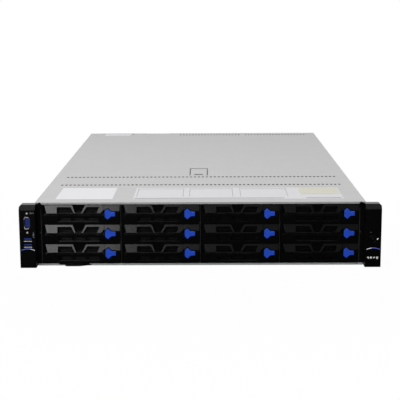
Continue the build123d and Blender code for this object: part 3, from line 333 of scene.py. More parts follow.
# %% Paint the solids
SLOT_FINISH = {
    "galvanised_steel": "tub_zinc",
    "black_steel": "black_powder",
    "black_plastic": "black_abs",
    "blue_plastic": "touch_blue",
    "port_metal": "nickel",
    "board": "board_green",
    "fin_aluminium": "fin_metal",
    "fan_plastic": "fan_black",
}
NODE_FINISH = {
    "front_cover": "cover_zinc",
    "rear_cover": "cover_zinc",
    "cover_latch": "cover_zinc",
}
NODE_SLOT = {part["node"]: part["material_slot"] for part in frame["record"]["subparts"]}
NODE_BODY = {
    node: body for body, nodes in frame["record"]["behaviour"]["bodies"].items() for node in nodes
}


def finish_of(node):
    return NODE_FINISH.get(node, SLOT_FINISH[NODE_SLOT[node]])


for name, solid in frame["nodes"].items():
    solid.data.materials.clear()
    solid.data.materials.append(MATERIALS[finish_of(name)])
print("painted", len(frame["nodes"]), "solids")


# %% [markdown]
# ## Rounded mouldings
#
# No moulded edge is sharp. A CAD mesh is loose triangles, so a copy is merged first,
# flat neighbours are dissolved into whole faces, and a Bevel modifier rounds what is
# still an edge. Subdividing would round the faces too, and these are flat.

# %% Rounded copies of the moulded parts
FLAT_WITHIN = math.radians(1.0)
EDGE_FROM = math.radians(12)


def show(mesh, material, body):
    """Make a mesh into a piece of the same name that rides on a body."""
    piece = bpy.data.objects.new(mesh.name, mesh)
    bpy.context.scene.collection.objects.link(piece)
    mesh.materials.clear()
    mesh.materials.append(MATERIALS[material])
    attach(piece, body)
    return piece


def rounded_copy(node, radius_mm, segments, new_name, material=None):
    """A bevelled stand-in for a CAD node."""
    shape = bmesh.new()
    shape.from_mesh(frame["nodes"][node].data)
    bmesh.ops.remove_doubles(shape, verts=shape.verts, dist=0.002 * MM)
    bmesh.ops.dissolve_limit(
        shape, angle_limit=FLAT_WITHIN, verts=shape.verts, edges=shape.edges,
    )
    mesh = bpy.data.meshes.new(new_name)
    shape.to_mesh(mesh)
    shape.free()
    if "custom_normal" in mesh.attributes:
        mesh.attributes.remove(mesh.attributes["custom_normal"])
    mesh.shade_smooth()
    piece = show(mesh, material or finish_of(node), NODE_BODY[node])
    edge = piece.modifiers.new("soft edges", "BEVEL")
    edge.width = radius_mm * MM
    edge.segments = segments
    edge.limit_method = "ANGLE"
    edge.angle_limit = EDGE_FROM
    edge.harden_normals = True
    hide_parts(node)
    return piece


COLUMNS, ROWS = 4, 3
TAGS = [f"r{row + 1}_c{column + 1}" for row in range(ROWS) for column in range(COLUMNS)]
for tag in TAGS:
    rounded_copy(f"handle_{tag}", 0.25, 2, f"lever_{tag}")
    rounded_copy(f"release_{tag}", 0.8, 3, f"button_{tag}")
    rounded_copy(f"tray_{tag}", 0.2, 1, f"bezel_{tag}")
rounded_copy("left_ear", 0.7, 3, "ear_left", "ear_abs")
rounded_copy("right_ear", 0.7, 3, "ear_right", "ear_abs")
rounded_copy("power_button", 0.5, 3, "power_cap", "ear_abs")
rounded_copy("asset_tag", 0.3, 2, "pull_tab")
rounded_copy("cover_latch", 0.5, 2, "latch_lever")


# %% [markdown]
# ## Shapes made in the script
#
# What is still missing is small: labels, pins, screws, marks and guards. A few
# builders cover them. One makes bevelled blocks from two corners, one turns a
# profile round an axis, as a lathe does, and one pushes an outline out of a plane.

# %% Builders for blocks, turned shapes and outlines
def mesh_of(shape, name):
    """Close a bmesh into a named mesh with its faces pointing out."""
    bmesh.ops.recalc_face_normals(shape, faces=shape.faces)
    mesh = bpy.data.meshes.new(name)
    shape.to_mesh(mesh)
    shape.free()
    return mesh


def blocks(name, corner_pairs, bevel_mm=0.0):
    """Boxes in one mesh, each from its low and its high corner."""
    shape = bmesh.new()
    for low, high in corner_pairs:
        low, high = Vector(metres(*low)), Vector(metres(*high))
        place = Matrix.Translation((low + high) / 2) @ Matrix.Diagonal((*(high - low), 1.0))
        bmesh.ops.create_cube(shape, size=1.0, matrix=place)
    if bevel_mm:
        bmesh.ops.bevel(
            shape, geom=shape.edges[:], offset=bevel_mm * MM, segments=2, profile=0.5,
            affect="EDGES", clamp_overlap=True,
        )
    return mesh_of(shape, name)


# Each matrix turns a shape drawn along +Z to point along another axis
POINTING = {
    "up": Matrix.Identity(4),
    "front": Matrix.Rotation(math.radians(90), 4, "X"),
    "rear": Matrix.Rotation(math.radians(180), 4, "Y") @ Matrix.Rotation(math.radians(-90), 4, "X"),
    "left": Matrix.Rotation(math.radians(-90), 4, "Y"),
    "right": Matrix.Rotation(math.radians(90), 4, "Y"),
}


def turned(name, profile, place=(0, 0, 0), pointing="up", segments=24):
    """Turn a profile of (radius, height) points round the way it points."""
    shape = bmesh.new()
    corners = [shape.verts.new(metres(radius, 0, height)) for radius, height in profile]
    edges = [shape.edges.new(pair) for pair in zip(corners, corners[1:])]
    bmesh.ops.spin(
        shape, geom=corners + edges, cent=(0, 0, 0), axis=(0, 0, 1),
        angle=math.tau, steps=segments, use_merge=True,
    )
    bmesh.ops.remove_doubles(shape, verts=shape.verts, dist=0.001 * MM)
    shape.transform(Matrix.Translation(metres(*place)) @ POINTING[pointing])
    return mesh_of(shape, name)


def pushed(name, outlines, back, front, pointing="front"):
    """Push flat outlines, given as seen from that side, from back to front."""
    shape = bmesh.new()
    for points in outlines:
        face = shape.faces.new([shape.verts.new(metres(x, y, back)) for x, y in points])
        grown = bmesh.ops.extrude_face_region(shape, geom=[face])
        moved = [item for item in grown["geom"] if isinstance(item, bmesh.types.BMVert)]
        bmesh.ops.translate(shape, verts=moved, vec=metres(0, 0, front - back))
    shape.transform(POINTING[pointing])
    return mesh_of(shape, name)


def bar(x0, z0, x1, z1, width):
    """A straight stroke between two points."""
    along = Vector((x1 - x0, z1 - z0)).normalized() * (width / 2)
    side = Vector((-along.y, along.x))
    start, end = Vector((x0, z0)) - along, Vector((x1, z1)) + along
    return [tuple(start + side), tuple(start - side), tuple(end - side), tuple(end + side)]


def joined(name, meshes):
    """Several meshes as one."""
    shape = bmesh.new()
    for mesh in meshes:
        shape.from_mesh(mesh)
    return mesh_of(shape, name)


# %% [markdown]
# ## Patterns with Geometry Nodes
#
# Screws, pins and perforations repeat, so Geometry Nodes place them. The first tree
# puts a template on every point it is given. The second grows a honeycomb: a grid
# whose odd rows are shifted by half a cell is split into triangles, and its dual
# mesh is made of hexagons. Each hexagon is shrunk and removed, which leaves the web,
# and the web gets its thickness. Both trees are evaluated once and the result is
# kept as a plain mesh, so the piece carries no modifier.

# %% Pattern trees
def new_tree(name, inputs):
    """A Geometry Nodes tree with named inputs, and its input node."""
    tree = bpy.data.node_groups.new(name, "GeometryNodeTree")
    for label, kind in inputs:
        tree.interface.new_socket(label, in_out="INPUT", socket_type=kind)
    tree.interface.new_socket("Geometry", in_out="OUTPUT", socket_type="NodeSocketGeometry")
    return tree, add(tree, "NodeGroupInput")


def grown(name, tree, mesh, values):
    """Run a tree on a mesh with its inputs set by label, and return a plain mesh."""
    holder = bpy.data.objects.new(name + "_holder", mesh)
    bpy.context.scene.collection.objects.link(holder)
    pattern = holder.modifiers.new("pattern", "NODES")
    pattern.node_group = tree
    for socket in tree.interface.items_tree:
        if socket.in_out == "INPUT" and socket.name in values:
            pattern[socket.identifier] = values[socket.name]
    bpy.context.view_layer.update()
    evaluated = holder.evaluated_get(bpy.context.evaluated_depsgraph_get())
    result = bpy.data.meshes.new_from_object(evaluated)
    result.name = name
    bpy.data.objects.remove(holder)
    return result


copy_tree, given = new_tree("copies on points", [
    ("Geometry", "NodeSocketGeometry"), ("Template", "NodeSocketObject"),
    ("Material", "NodeSocketMaterial"),
])
template_shape = add(copy_tree, "GeometryNodeObjectInfo", {"Object": given.outputs["Template"]})
spread = add(copy_tree, "GeometryNodeInstanceOnPoints", {
    "Points": given.outputs["Geometry"], "Instance": template_shape.outputs["Geometry"],
})
real = add(copy_tree, "GeometryNodeRealizeInstances", {0: spread.outputs[0]})
coated = add(copy_tree, "GeometryNodeSetMaterial", {
    "Geometry": real.outputs[0], "Material": given.outputs["Material"],
})
add(copy_tree, "NodeGroupOutput", {"Geometry": coated.outputs[0]})


def place_copies(name, template_mesh, places, material, body):
    """Show a copy of a template mesh at every place."""
    template = bpy.data.objects.new(name + "_template", template_mesh)
    bpy.context.scene.collection.objects.link(template)
    points = bpy.data.meshes.new(name + "_points")
    points.from_pydata([metres(*place) for place in places], [], [])
    mesh = grown(name, copy_tree, points, {"Template": template, "Material": MATERIALS[material]})
    bpy.data.objects.remove(template)
    return show(mesh, material, body)


comb_tree, given = new_tree("honeycomb", [
    ("Geometry", "NodeSocketGeometry"), ("Width", "NodeSocketFloat"),
    ("Height", "NodeSocketFloat"), ("Pitch", "NodeSocketFloat"),
    ("Opening", "NodeSocketFloat"), ("Thickness", "NodeSocketFloat"),
    ("Middle", "NodeSocketVector"), ("Turn", "NodeSocketVector"),
    ("Material", "NodeSocketMaterial"),
])


def maths(tree, operation, first, second=0.0):
    return add(tree, "ShaderNodeMath", {0: first, 1: second}, operation=operation).outputs[0]


row_step = maths(comb_tree, "MULTIPLY", given.outputs["Pitch"], math.sqrt(3) / 2)
across = maths(comb_tree, "ROUND", maths(comb_tree, "DIVIDE", given.outputs["Width"], given.outputs["Pitch"]))
rows_up = maths(comb_tree, "ROUND", maths(comb_tree, "DIVIDE", given.outputs["Height"], row_step))
lattice = add(comb_tree, "GeometryNodeMeshGrid", {
    "Size X": maths(comb_tree, "MULTIPLY", across, given.outputs["Pitch"]),
    "Size Y": maths(comb_tree, "MULTIPLY", rows_up, row_step),
    "Vertices X": maths(comb_tree, "ADD", across, 1.0),
    "Vertices Y": maths(comb_tree, "ADD", rows_up, 1.0),
})
spot = add(comb_tree, "ShaderNodeSeparateXYZ", {0: add(comb_tree, "GeometryNodeInputPosition").outputs[0]})
row_number = maths(comb_tree, "ROUND", maths(comb_tree, "DIVIDE", spot.outputs["Y"], row_step))
odd = maths(comb_tree, "MODULO", maths(comb_tree, "ABSOLUTE", row_number), 2.0)
half_cell = maths(comb_tree, "MULTIPLY", given.outputs["Pitch"], 0.5)
shift = add(comb_tree, "ShaderNodeCombineXYZ", {0: maths(comb_tree, "MULTIPLY", odd, half_cell)})
staggered = add(comb_tree, "GeometryNodeSetPosition", {
    "Geometry": lattice.outputs["Mesh"], "Offset": shift.outputs[0],
})
triangles = add(comb_tree, "GeometryNodeTriangulate", {0: staggered.outputs[0]})
hexagons = add(comb_tree, "GeometryNodeDualMesh", {0: triangles.outputs[0]})
lids = add(comb_tree, "GeometryNodeExtrudeMesh", {
    "Mesh": hexagons.outputs[0], "Offset Scale": 0.0, "Individual": True,
})
shrunk = add(comb_tree, "GeometryNodeScaleElements", {
    "Geometry": lids.outputs["Mesh"], "Selection": lids.outputs["Top"], "Scale": given.outputs["Opening"],
})
web = add(comb_tree, "GeometryNodeDeleteGeometry", {
    "Geometry": shrunk.outputs[0], "Selection": lids.outputs["Top"],
}, domain="FACE")
sealed = add(comb_tree, "GeometryNodeMergeByDistance", {"Geometry": web.outputs[0], "Distance": 0.00001})
raised = add(comb_tree, "GeometryNodeExtrudeMesh", {
    "Mesh": sealed.outputs[0], "Offset Scale": given.outputs["Thickness"], "Individual": False,
})
rear_side = add(comb_tree, "GeometryNodeFlipFaces", {0: sealed.outputs[0]})
both = add(comb_tree, "GeometryNodeJoinGeometry")
comb_tree.links.new(raised.outputs["Mesh"], both.inputs[0])
comb_tree.links.new(rear_side.outputs[0], both.inputs[0])
plate = add(comb_tree, "GeometryNodeMergeByDistance", {"Geometry": both.outputs[0], "Distance": 0.00001})
seated = add(comb_tree, "GeometryNodeTransform", {
    "Geometry": plate.outputs[0], "Translation": given.outputs["Middle"],
    "Rotation": given.outputs["Turn"],
})
coated = add(comb_tree, "GeometryNodeSetMaterial", {
    "Geometry": seated.outputs[0], "Material": given.outputs["Material"],
})
add(comb_tree, "NodeGroupOutput", {"Geometry": coated.outputs[0]})


def honeycomb(name, size, pitch, web_width, thickness, middle, pointing, material, body):
    """Show a perforated sheet about a middle, its face pointing one way."""
    seed = bpy.data.meshes.new(name + "_seed")
    mesh = grown(name, comb_tree, seed, {
        "Width": size[0] * MM, "Height": size[1] * MM, "Pitch": pitch * MM,
        "Opening": 1 - web_width / pitch, "Thickness": thickness * MM,
        "Middle": metres(*middle), "Turn": POINTING[pointing].to_euler(),
        "Material": MATERIALS[material],
    })
    return show(mesh, material, body)


# %% [markdown]
# ## Grilles behind the tray windows
#
# The windows of a tray open onto a sheet of hexagonal holes that lets air in to the
# drive. It lies between the bezel and the drive, so it shows through the windows of
# the handle and through the long slot below.

# %% Tray grilles
BODY_WIDTH, BODY_HEIGHT, BODY_DEPTH = 445.0, 87.0, 720.0
HALF = BODY_WIDTH / 2
COLUMN_PITCH, ROW_PITCH, FIRST_ROW_HEIGHT = 107.2, 27.1, 16.4
GRILLE_SIZE = (64.0, 20.5)
GRILLE_PITCH = 3.0
GRILLE_WEB = 0.75
GRILLE_FRONT = 6.2
GRILLE_THICKNESS = 0.7
GRILLE_SHIFT = -3.5


def bay_middle(tag):
    """X and Z of the middle of a bay, from its name."""
    row, column = int(tag[1]) - 1, int(tag[4]) - 1
    return (column - (COLUMNS - 1) / 2) * COLUMN_PITCH, FIRST_ROW_HEIGHT + row * ROW_PITCH


for tag in TAGS:
    x, z = bay_middle(tag)
    honeycomb(
        f"grille_{tag}", GRILLE_SIZE, GRILLE_PITCH, GRILLE_WEB, GRILLE_THICKNESS,
        (x + GRILLE_SHIFT, GRILLE_FRONT + GRILLE_THICKNESS, z), "front",
        "grille_steel", f"bay_{tag}",
    )
print("tray grilles:", len(TAGS))


# %% [markdown]
# ## Labels on the covers
#
# Three paper labels lie on the covers. They are plain stock without lettering. The
# long one has a tinted field and ruled boxes, and two grey rules along its front.

# %% Cover labels
PAPER = 0.15
TOP = BODY_HEIGHT


def paper(name, left, right, front, back, material, body, lift=0.0):
    low, high = (left, front, TOP + lift), (right, back, TOP + lift + PAPER)
    mesh = blocks(name, [(low, high)], bevel_mm=0.05)
    return show(mesh, material, body)


paper("service_label", -198, -120, 22, 108, "label_white", "chassis")
paper("guide_label", -92, 196, 20, 107, "label_pale", "chassis")
paper("guide_field", 140, 194, 55, 106, "label_cream", "chassis", PAPER)
RULE, CROSS_RULE = 0.8, 2.4
BOXES = [(-88, -24), (-15, 45), (56, 121)]
BOX_FRONT, BOX_BACK = 40, 96
strokes = []
for left, right in BOXES:
    strokes += [
        bar(left, BOX_FRONT, left, BOX_BACK, RULE),
        bar(left, BOX_BACK + 2, right, BOX_BACK + 2, CROSS_RULE),
        bar(right, BOX_BACK, right, BOX_FRONT, RULE),
    ]
EDGE_RULE, EDGE_RULE_Y = 4.0, 27
long_rules = [
    bar(left, EDGE_RULE_Y, right, EDGE_RULE_Y, EDGE_RULE) for left, right in ((-88, 113), (147, 191))
]
INK_LOW, INK_HIGH = TOP + PAPER - 0.01, TOP + PAPER + 0.04
for name, lines, tint in (
    ("guide_rules", strokes, "ink_grey"), ("guide_edge_rules", long_rules, "mark_grey"),
):
    ruled = pushed(name, lines, INK_LOW, INK_HIGH, "up")
    show(ruled, tint, "chassis")
paper("rear_label", -192, -142, 684, 709, "label_white", "cover")
dot = turned("seal_dot", [(0, PAPER), (1.9, PAPER), (2.1, 0), (0, 0)], (-137.6, 706, TOP))
show(dot, "hole_black", "cover")


# %% [markdown]
# ## Shade in the slots
#
# The slots of the covers are open, and the photograph shows the dark inside through
# them. At this low angle the thickness of the sheet hides most of that, so a black
# plate just below each slot's face paints that shade in. It is there for the look alone.
# The slots are spaced evenly, so their places follow from the ends of a row. The gap
# round the latch gets painted shade the same way, with a black lining and a dark edge line.

# %% Painted shade: black plates in the slots, and a black lining and a dark edge line in the latch well
SLOT_SIZE = (3.15, 6.95)
SLOT_PITCH = 6.06
SLOT_SUNK = 0.12
SEAM = 171.5
RISER_LEFT, RISER_WIDTH, RISER_PITCH = -47.04, 123.52, 128.52
RISER_ENDS = [(RISER_LEFT + i * RISER_PITCH, RISER_LEFT + i * RISER_PITCH + RISER_WIDTH) for i in range(2)]


def slot_row(left, right, y):
    """Places of the slots of a row that runs between two ends."""
    count = round((right - left) / SLOT_PITCH) + 1
    first = (left + right) / 2 - (count - 1) / 2 * SLOT_PITCH
    return [(first + i * SLOT_PITCH, y, TOP - SLOT_SUNK) for i in range(count)]


# Black plates under the slots: painted shade of the dark inside the covers
shade_plate = blocks("slot_insert", [
    ((-SLOT_SIZE[0] / 2, -SLOT_SIZE[1] / 2, -0.3), (SLOT_SIZE[0] / 2, SLOT_SIZE[1] / 2, 0)),
])
place_copies("front_slot_inserts", shade_plate, slot_row(-202, 202, SEAM - 39.0),
             "hole_black", "chassis")
cover_rows = slot_row(-202, 202, SEAM + 28.5)
for left, right in RISER_ENDS:
    cover_rows += slot_row(left + 3.0, right - 3.0, BODY_DEPTH - 25.0)
place_copies("cover_slot_inserts", shade_plate.copy(), cover_rows,
             "hole_black", "cover")
WELL_LEFT, WELL_FRONT, WELL_RIGHT, WELL_BACK = -17.0, 215.0, 9.7, 281.0
WELL_FLOOR = 80.5
WELL_CLEARANCE = 0.05
# A black lining on the floor of the latch well: painted shade in the gap round the latch
well_shade_box = [(
    (WELL_LEFT + WELL_CLEARANCE, WELL_FRONT + WELL_CLEARANCE, WELL_FLOOR - 0.02),
    (WELL_RIGHT - WELL_CLEARANCE, WELL_BACK - WELL_CLEARANCE, WELL_FLOOR + 0.15),
)]
show(blocks("well_lining", well_shade_box), "hole_black", "cover")
# A dark line round the latch well on the cover's top: painted shade of the gap
LINE = 0.9
line_left, line_right = WELL_LEFT - LINE / 2, WELL_RIGHT + LINE / 2
line_back = WELL_BACK + LINE / 2
rim = [bar(line_left, WELL_FRONT, line_left, WELL_BACK, LINE),
       bar(line_right, WELL_FRONT, line_right, WELL_BACK, LINE),
       bar(line_left, line_back, line_right, line_back, LINE)]
well_shade_line = pushed("well_edge", rim, TOP - 0.02, TOP + 0.08, "up")
show(well_shade_line, "cut_edge", "cover")


# %% [markdown]
# ## Screws and rivets
#
# A screw head is one turned profile with a socket in its top. The side walls have
# rivets, the rear wall has screws, and each ear is held to the cage by one screw.

# %% Screws and rivets
def screw_head(name, radius, height, pointing):
    """A low head with a rounded rim and a round socket."""
    socket, sunk = radius * 0.45, height * 0.6
    profile = [
        (0, height - sunk), (socket, height - sunk), (socket, height),
        (radius * 0.8, height), (radius * 0.95, height * 0.7), (radius, height * 0.25), (radius, 0), (0, 0),
    ]
    return turned(name, profile, pointing=pointing, segments=20)


for side, pointing in ((-1, "left"), (1, "right")):
    rivets = [(side * HALF, y, z) for y in (75, 96, 150, 250, 350, 450, 650, 700) for z in (12, 75)]
    place_copies(f"{pointing}_rivets", screw_head(f"{pointing}_rivet", 2.4, 0.7, pointing), rivets,
                 "nickel", "chassis")
REAR_SCREWS = [(x, BODY_DEPTH, 5.0) for x in (-55, 60, 208)] + [(x, BODY_DEPTH, 80.0) for x in (-140, 216)]
place_copies("rear_screws", screw_head("rear_screw", 2.5, 1.0, "rear"), REAR_SCREWS,
             "nickel", "chassis")


# %% [markdown]
# ## The cage seen between the trays
#
# Between two trays the bare cut edge of a cage wall shows as a thin grey line, with
# a brighter spring tab where two rows meet. Next to each ear the side channel of
# the cage has a folded rim and a screw.

# %% Cage edges, tabs and side channels
EDGE_WIDTH = 0.5
EDGE_LIFT = 0.25
cage_lines = [column * COLUMN_PITCH for column in (-2, -1, 0, 1, 2)]
edges = [((x - EDGE_WIDTH / 2, -EDGE_LIFT, 4), (x + EDGE_WIDTH / 2, 0, 83)) for x in cage_lines]
show(blocks("cage_edges", edges, 0.08), "cut_edge", "chassis")
TAB_HEIGHT = 4.2
tabs = []
for x in cage_lines:
    for row in range(1, ROWS):
        level = FIRST_ROW_HEIGHT + (row - 0.5) * ROW_PITCH
        tabs.append(((x - 0.55, -0.7, level - TAB_HEIGHT / 2), (x + 0.55, 0, level + TAB_HEIGHT / 2)))
show(blocks("cage_tabs", tabs, 0.2), "nickel", "chassis")
CHANNEL_X = 214.6
rims = [((side * CHANNEL_X - 0.3, -1.0, 5), (side * CHANNEL_X + 0.3, 0, 82)) for side in (-1, 1)]
show(blocks("channel_rims", rims, 0.12), "cut_edge", "chassis")
channel_screws = [(side * 215.4, -1.0, 45.7) for side in (-1, 1)]
place_copies("channel_screws", screw_head("channel_screw", 1.2, 0.8, "front"), channel_screws,
             "cut_edge", "chassis")


# %% [markdown]
# ## Painted shade round the release buttons
#
# Each blue button stands in a black band that follows its outline and paints the shade
# of its pocket, which shows as a dark line between the button and the leaning face
# beside it. The outline is the button's own, a millimetre and a bit larger all round.

# %% Painted shade round the buttons
BUTTON_LEFT, BUTTON_MIDDLE = 32.4, 1.0
BUTTON_OUTLINE = [(0.0, 3.8), (3.9, 7.4), (8.6, 3.1), (14.2, 3.0)]
SHADE_RIM = 1.1
BEZEL_FACE = -3.0
for tag in TAGS:
    x, z = bay_middle(tag)
    x, z = x + BUTTON_LEFT, z + BUTTON_MIDDLE
    upper = [(x + across, z + up + SHADE_RIM) for across, up in BUTTON_OUTLINE]
    lower = [(x + across, z - up - SHADE_RIM) for across, up in reversed(BUTTON_OUTLINE)]
    upper[0], lower[-1] = (x - SHADE_RIM, z + 4.2), (x - SHADE_RIM, z - 4.2)
    upper[-1], lower[0] = (x + 14.2 + SHADE_RIM, z + 3.9), (x + 14.2 + SHADE_RIM, z - 3.9)
    # A black band round each button: painted shade of the pocket it stands in
    shade_band = pushed(f"button_seat_{tag}", [upper + lower], -BEZEL_FACE - 1.6, -BEZEL_FACE + 0.08)
    show(shade_band, "hole_black", f"bay_{tag}")


# %% [markdown]
# ## The left ear
#
# The ear holds an upright video socket with fifteen pin holes in a blue core, and
# two USB sockets with blue tongues and a bright lower lip. The shells are covered in
# black to thin dark edges, as the photograph shows them, which is painted shade. The
# pin holes are painted black dots, and bright strokes at the video shell are painted highlights.

# %% Video and USB sockets of the left ear
EAR_FACE = -19.4
VGA_X, VGA_Z = -230.6, 62.9
VGA_CORE = (5.6, 12.9)
CORE_FRONT = EAR_FACE - 0.4 + 2.5
core = blocks("video_core", [(
    (VGA_X - VGA_CORE[0] / 2 - 0.15, CORE_FRONT - 0.4, VGA_Z - VGA_CORE[1] / 2 - 0.15),
    (VGA_X + VGA_CORE[0] / 2 + 0.15, CORE_FRONT + 6, VGA_Z + VGA_CORE[1] / 2 + 0.15),
)], 0.3)
show(core, "socket_blue", "chassis")
PIN_ROWS, PINS_IN_ROW = 3, 5
pins = [
    (VGA_X + (row - 1) * 1.5, CORE_FRONT - 0.4, VGA_Z + (pin - 2) * 2.3 + (row - 1) * 0.55)
    for row in range(PIN_ROWS) for pin in range(PINS_IN_ROW)
]
# Each pin hole is a flat black disc on the core: painted shade of the hole
pin_shade_disc = turned("pin_hole", [(0, 0.02), (0.42, 0.02), (0.5, 0.0)], pointing="front", segments=12)
place_copies("video_pin_holes", pin_shade_disc, pins, "hole_black", "chassis")
JACK_SPACING = 13.0
jack_places = [(VGA_X, EAR_FACE - 0.4, VGA_Z + side * JACK_SPACING) for side in (-1, 1)]
cap_profile = [(0, 0.8), (0.6, 0.7), (1.0, 0.35), (1.1, 0), (0, 0)]
jack_cap = turned("jack_cap", cap_profile, pointing="front", segments=20)
place_copies("jack_caps", jack_cap, jack_places, "lip_metal", "chassis")
# Thin bright strokes on the ear at the top and bottom ends and the left corners of the video shell: painted
# highlights on its metal rim
rims = [bar(VGA_X - 2.4, VGA_Z + side * 8.1, VGA_X + 1.6, VGA_Z + side * 7.6, 0.8) for side in (-1, 1)]
rims += [bar(VGA_X - 3.9, VGA_Z + side * 5.4, VGA_X - 3.0, VGA_Z + side * 7.6, 0.6) for side in (-1, 1)]
mesh = pushed("video_rims", rims, -EAR_FACE + 0.35, -EAR_FACE + 0.5)
show(mesh, "lip_metal", "chassis")

# The socket shells: painted shade, as black frames over them and a black sheet inside, with a blue tongue and
# a bright lower lip
USB_X = -230.2
USB_LEVELS = (32.2, 40.2)
USB_HALF_WIDTH, USB_HALF_HEIGHT = 6.25, 2.55
SHELL_FRONT = EAR_FACE - 0.4
usb_shade_boxes, tongues, lips = [], [], []
for z in USB_LEVELS:
    left, right = USB_X - USB_HALF_WIDTH, USB_X + USB_HALF_WIDTH
    usb_shade_boxes += [
        ((left - 0.15, SHELL_FRONT - 0.12, z + 2.15), (right + 0.15, SHELL_FRONT + 0.4, z + 2.75)),
        ((left - 0.15, SHELL_FRONT - 0.12, z - 2.75), (right + 0.15, SHELL_FRONT + 0.4, z - 2.5)),
        ((left - 0.15, SHELL_FRONT - 0.12, z - 2.6), (left + 0.5, SHELL_FRONT + 0.4, z + 2.6)),
        ((right - 0.5, SHELL_FRONT - 0.12, z - 2.6), (right + 0.15, SHELL_FRONT + 0.4, z + 2.6)),
        ((left + 0.4, EAR_FACE + 6.0, z - 2.1), (right - 0.4, EAR_FACE + 6.2, z + 2.1)),
    ]
    tongues.append(((USB_X - 4.9, SHELL_FRONT + 0.2, z + 0.3), (USB_X + 4.9, EAR_FACE + 9, z + 2.0)))
    lips.append(((left + 0.9, SHELL_FRONT - 0.3, z - USB_HALF_HEIGHT),
                 (right - 0.9, SHELL_FRONT + 0.5, z - 1.75)))
# Black frames and inner sheets of the USB shells: painted shade
show(blocks("usb_shells", usb_shade_boxes), "hole_black", "chassis")
show(blocks("usb_tongues", tongues, 0.15), "socket_blue", "chassis")
show(blocks("usb_lips", lips, 0.12), "lip_metal", "chassis")


# %% [markdown]
# ## Marks on the ears
#
# The marks are generic signs, drawn from bars and rings: a screen and a
# three-pronged fork on the left ear, and four status signs that glow a little on the
# right one. They are a film a tenth of a millimetre proud of the ear.

# %% Printed marks
PRINT = 0.12


def ring(x, z, radius, width, start=0.0, end=360.0, steps=24):
    """A round stroke, as separate flat segments from start to end in degrees."""
    inner, outer = radius - width / 2, radius + width / 2
    turns = [math.radians(start + (end - start) * i / steps) for i in range(steps + 1)]

    def at(reach, angle):
        return x + reach * math.cos(angle), z + reach * math.sin(angle)

    return [[at(inner, a), at(outer, a), at(outer, b), at(inner, b)] for a, b in zip(turns, turns[1:])]


def frame_mark(x, z, width, height, stroke):
    """A rectangle drawn with strokes."""
    left, right, low, high = x - width / 2, x + width / 2, z - height / 2, z + height / 2
    return [
        bar(left, low, right, low, stroke), bar(right, low, right, high, stroke),
        bar(right, high, left, high, stroke), bar(left, high, left, low, stroke),
    ]


def print_marks(name, outlines, material, face=EAR_FACE):
    mesh = pushed(name, outlines, -face - 0.02, -face + PRINT)
    return show(mesh, material, "chassis")


screen_sign = frame_mark(-225.2, 76.3, 2.2, 1.5, 0.5) + [bar(-222.6, 76.3, -221.8, 76.3, 0.9)]
print_marks("screen_mark", screen_sign, "mark_grey")
fork = [
    bar(-222.4, 43.9, -222.4, 49.4, 0.6), bar(-222.4, 45.0, -223.5, 46.3, 0.45),
    bar(-223.5, 46.3, -223.5, 47.2, 0.45), bar(-222.4, 45.8, -221.5, 47.0, 0.45),
    [(-222.4, 50.6), (-223.1, 49.2), (-221.7, 49.2)],
] + ring(-222.4, 43.6, 0.3, 0.6)
print_marks("fork_mark", fork, "mark_grey")

# The four status signs of the right ear: a heart line, a disc, a bolt and a screen
PAD_FACE = EAR_FACE - 0.6
ICON_LEVEL = 14.6
pulse = [bar(222.9, 14.6, 223.6, 14.6, 0.5), bar(223.6, 14.6, 224.1, 15.8, 0.5),
         bar(224.1, 15.8, 224.6, 13.4, 0.5), bar(224.6, 13.4, 225.2, 14.6, 0.5)]
disc_sign = ring(228.0, ICON_LEVEL, 1.1, 0.5) + ring(228.0, ICON_LEVEL, 0.3, 0.5)
bolt_sign = [[(232.7, 16.3), (230.9, 14.2), (232.0, 14.2), (231.5, 12.9), (233.3, 15.0), (232.2, 15.0)]]
link_sign = frame_mark(236.2, ICON_LEVEL, 2.0, 1.6, 0.5) + [bar(236.2, 13.2, 236.2, 12.7, 0.5)]
print_marks("status_marks", pulse + disc_sign + bolt_sign + link_sign, "sign_lit", PAD_FACE)

# %% Light guides along the arched top of each pad; the whitish unlit part is a painted highlight
EAR_INNER, EAR_OUTER = 220.0, 241.3
PAD_LEFT, PAD_RIGHT = EAR_INNER + 1.4, EAR_OUTER - 1.4
PAD_EDGE, PAD_CROWN = 25.0, 2.3


def arch(start, end, width, shift=0.0, steps=10):
    """Short strokes along the arc of the pad's top, from one share of it to another."""
    shares = [start + (end - start) * i / steps for i in range(steps + 1)]
    points = [
        (PAD_LEFT + (PAD_RIGHT - PAD_LEFT) * t, PAD_EDGE + shift + PAD_CROWN * 4 * t * (1 - t))
        for t in shares
    ]
    return [
        [(x0, z0 - width / 2), (x1, z1 - width / 2), (x1, z1 + width / 2), (x0, z0 + width / 2)]
        for (x0, z0), (x1, z1) in zip(points, points[1:])
    ]


def mirrored_outlines(outlines):
    return [[(-x, z) for x, z in reversed(points)] for points in outlines]


# Each guide is blue where lit; the glowing whitish part at one end is a painted highlight on the pad's arched
# edge
for side, lit, clear in (("right", (0.38, 0.97), (0.03, 0.38)), ("left", (0.30, 0.97), (0.0, 0.30))):
    for part_name, (start, end), tint in (("lit", lit, "guide_blue"), ("clear", clear, "guide_clear")):
        strip = arch(start, end, 0.9, 0.35)
        strip = mirrored_outlines(strip) if side == "left" else strip
        print_marks(f"{side}_guide_{part_name}", strip, tint, PAD_FACE + 0.3)

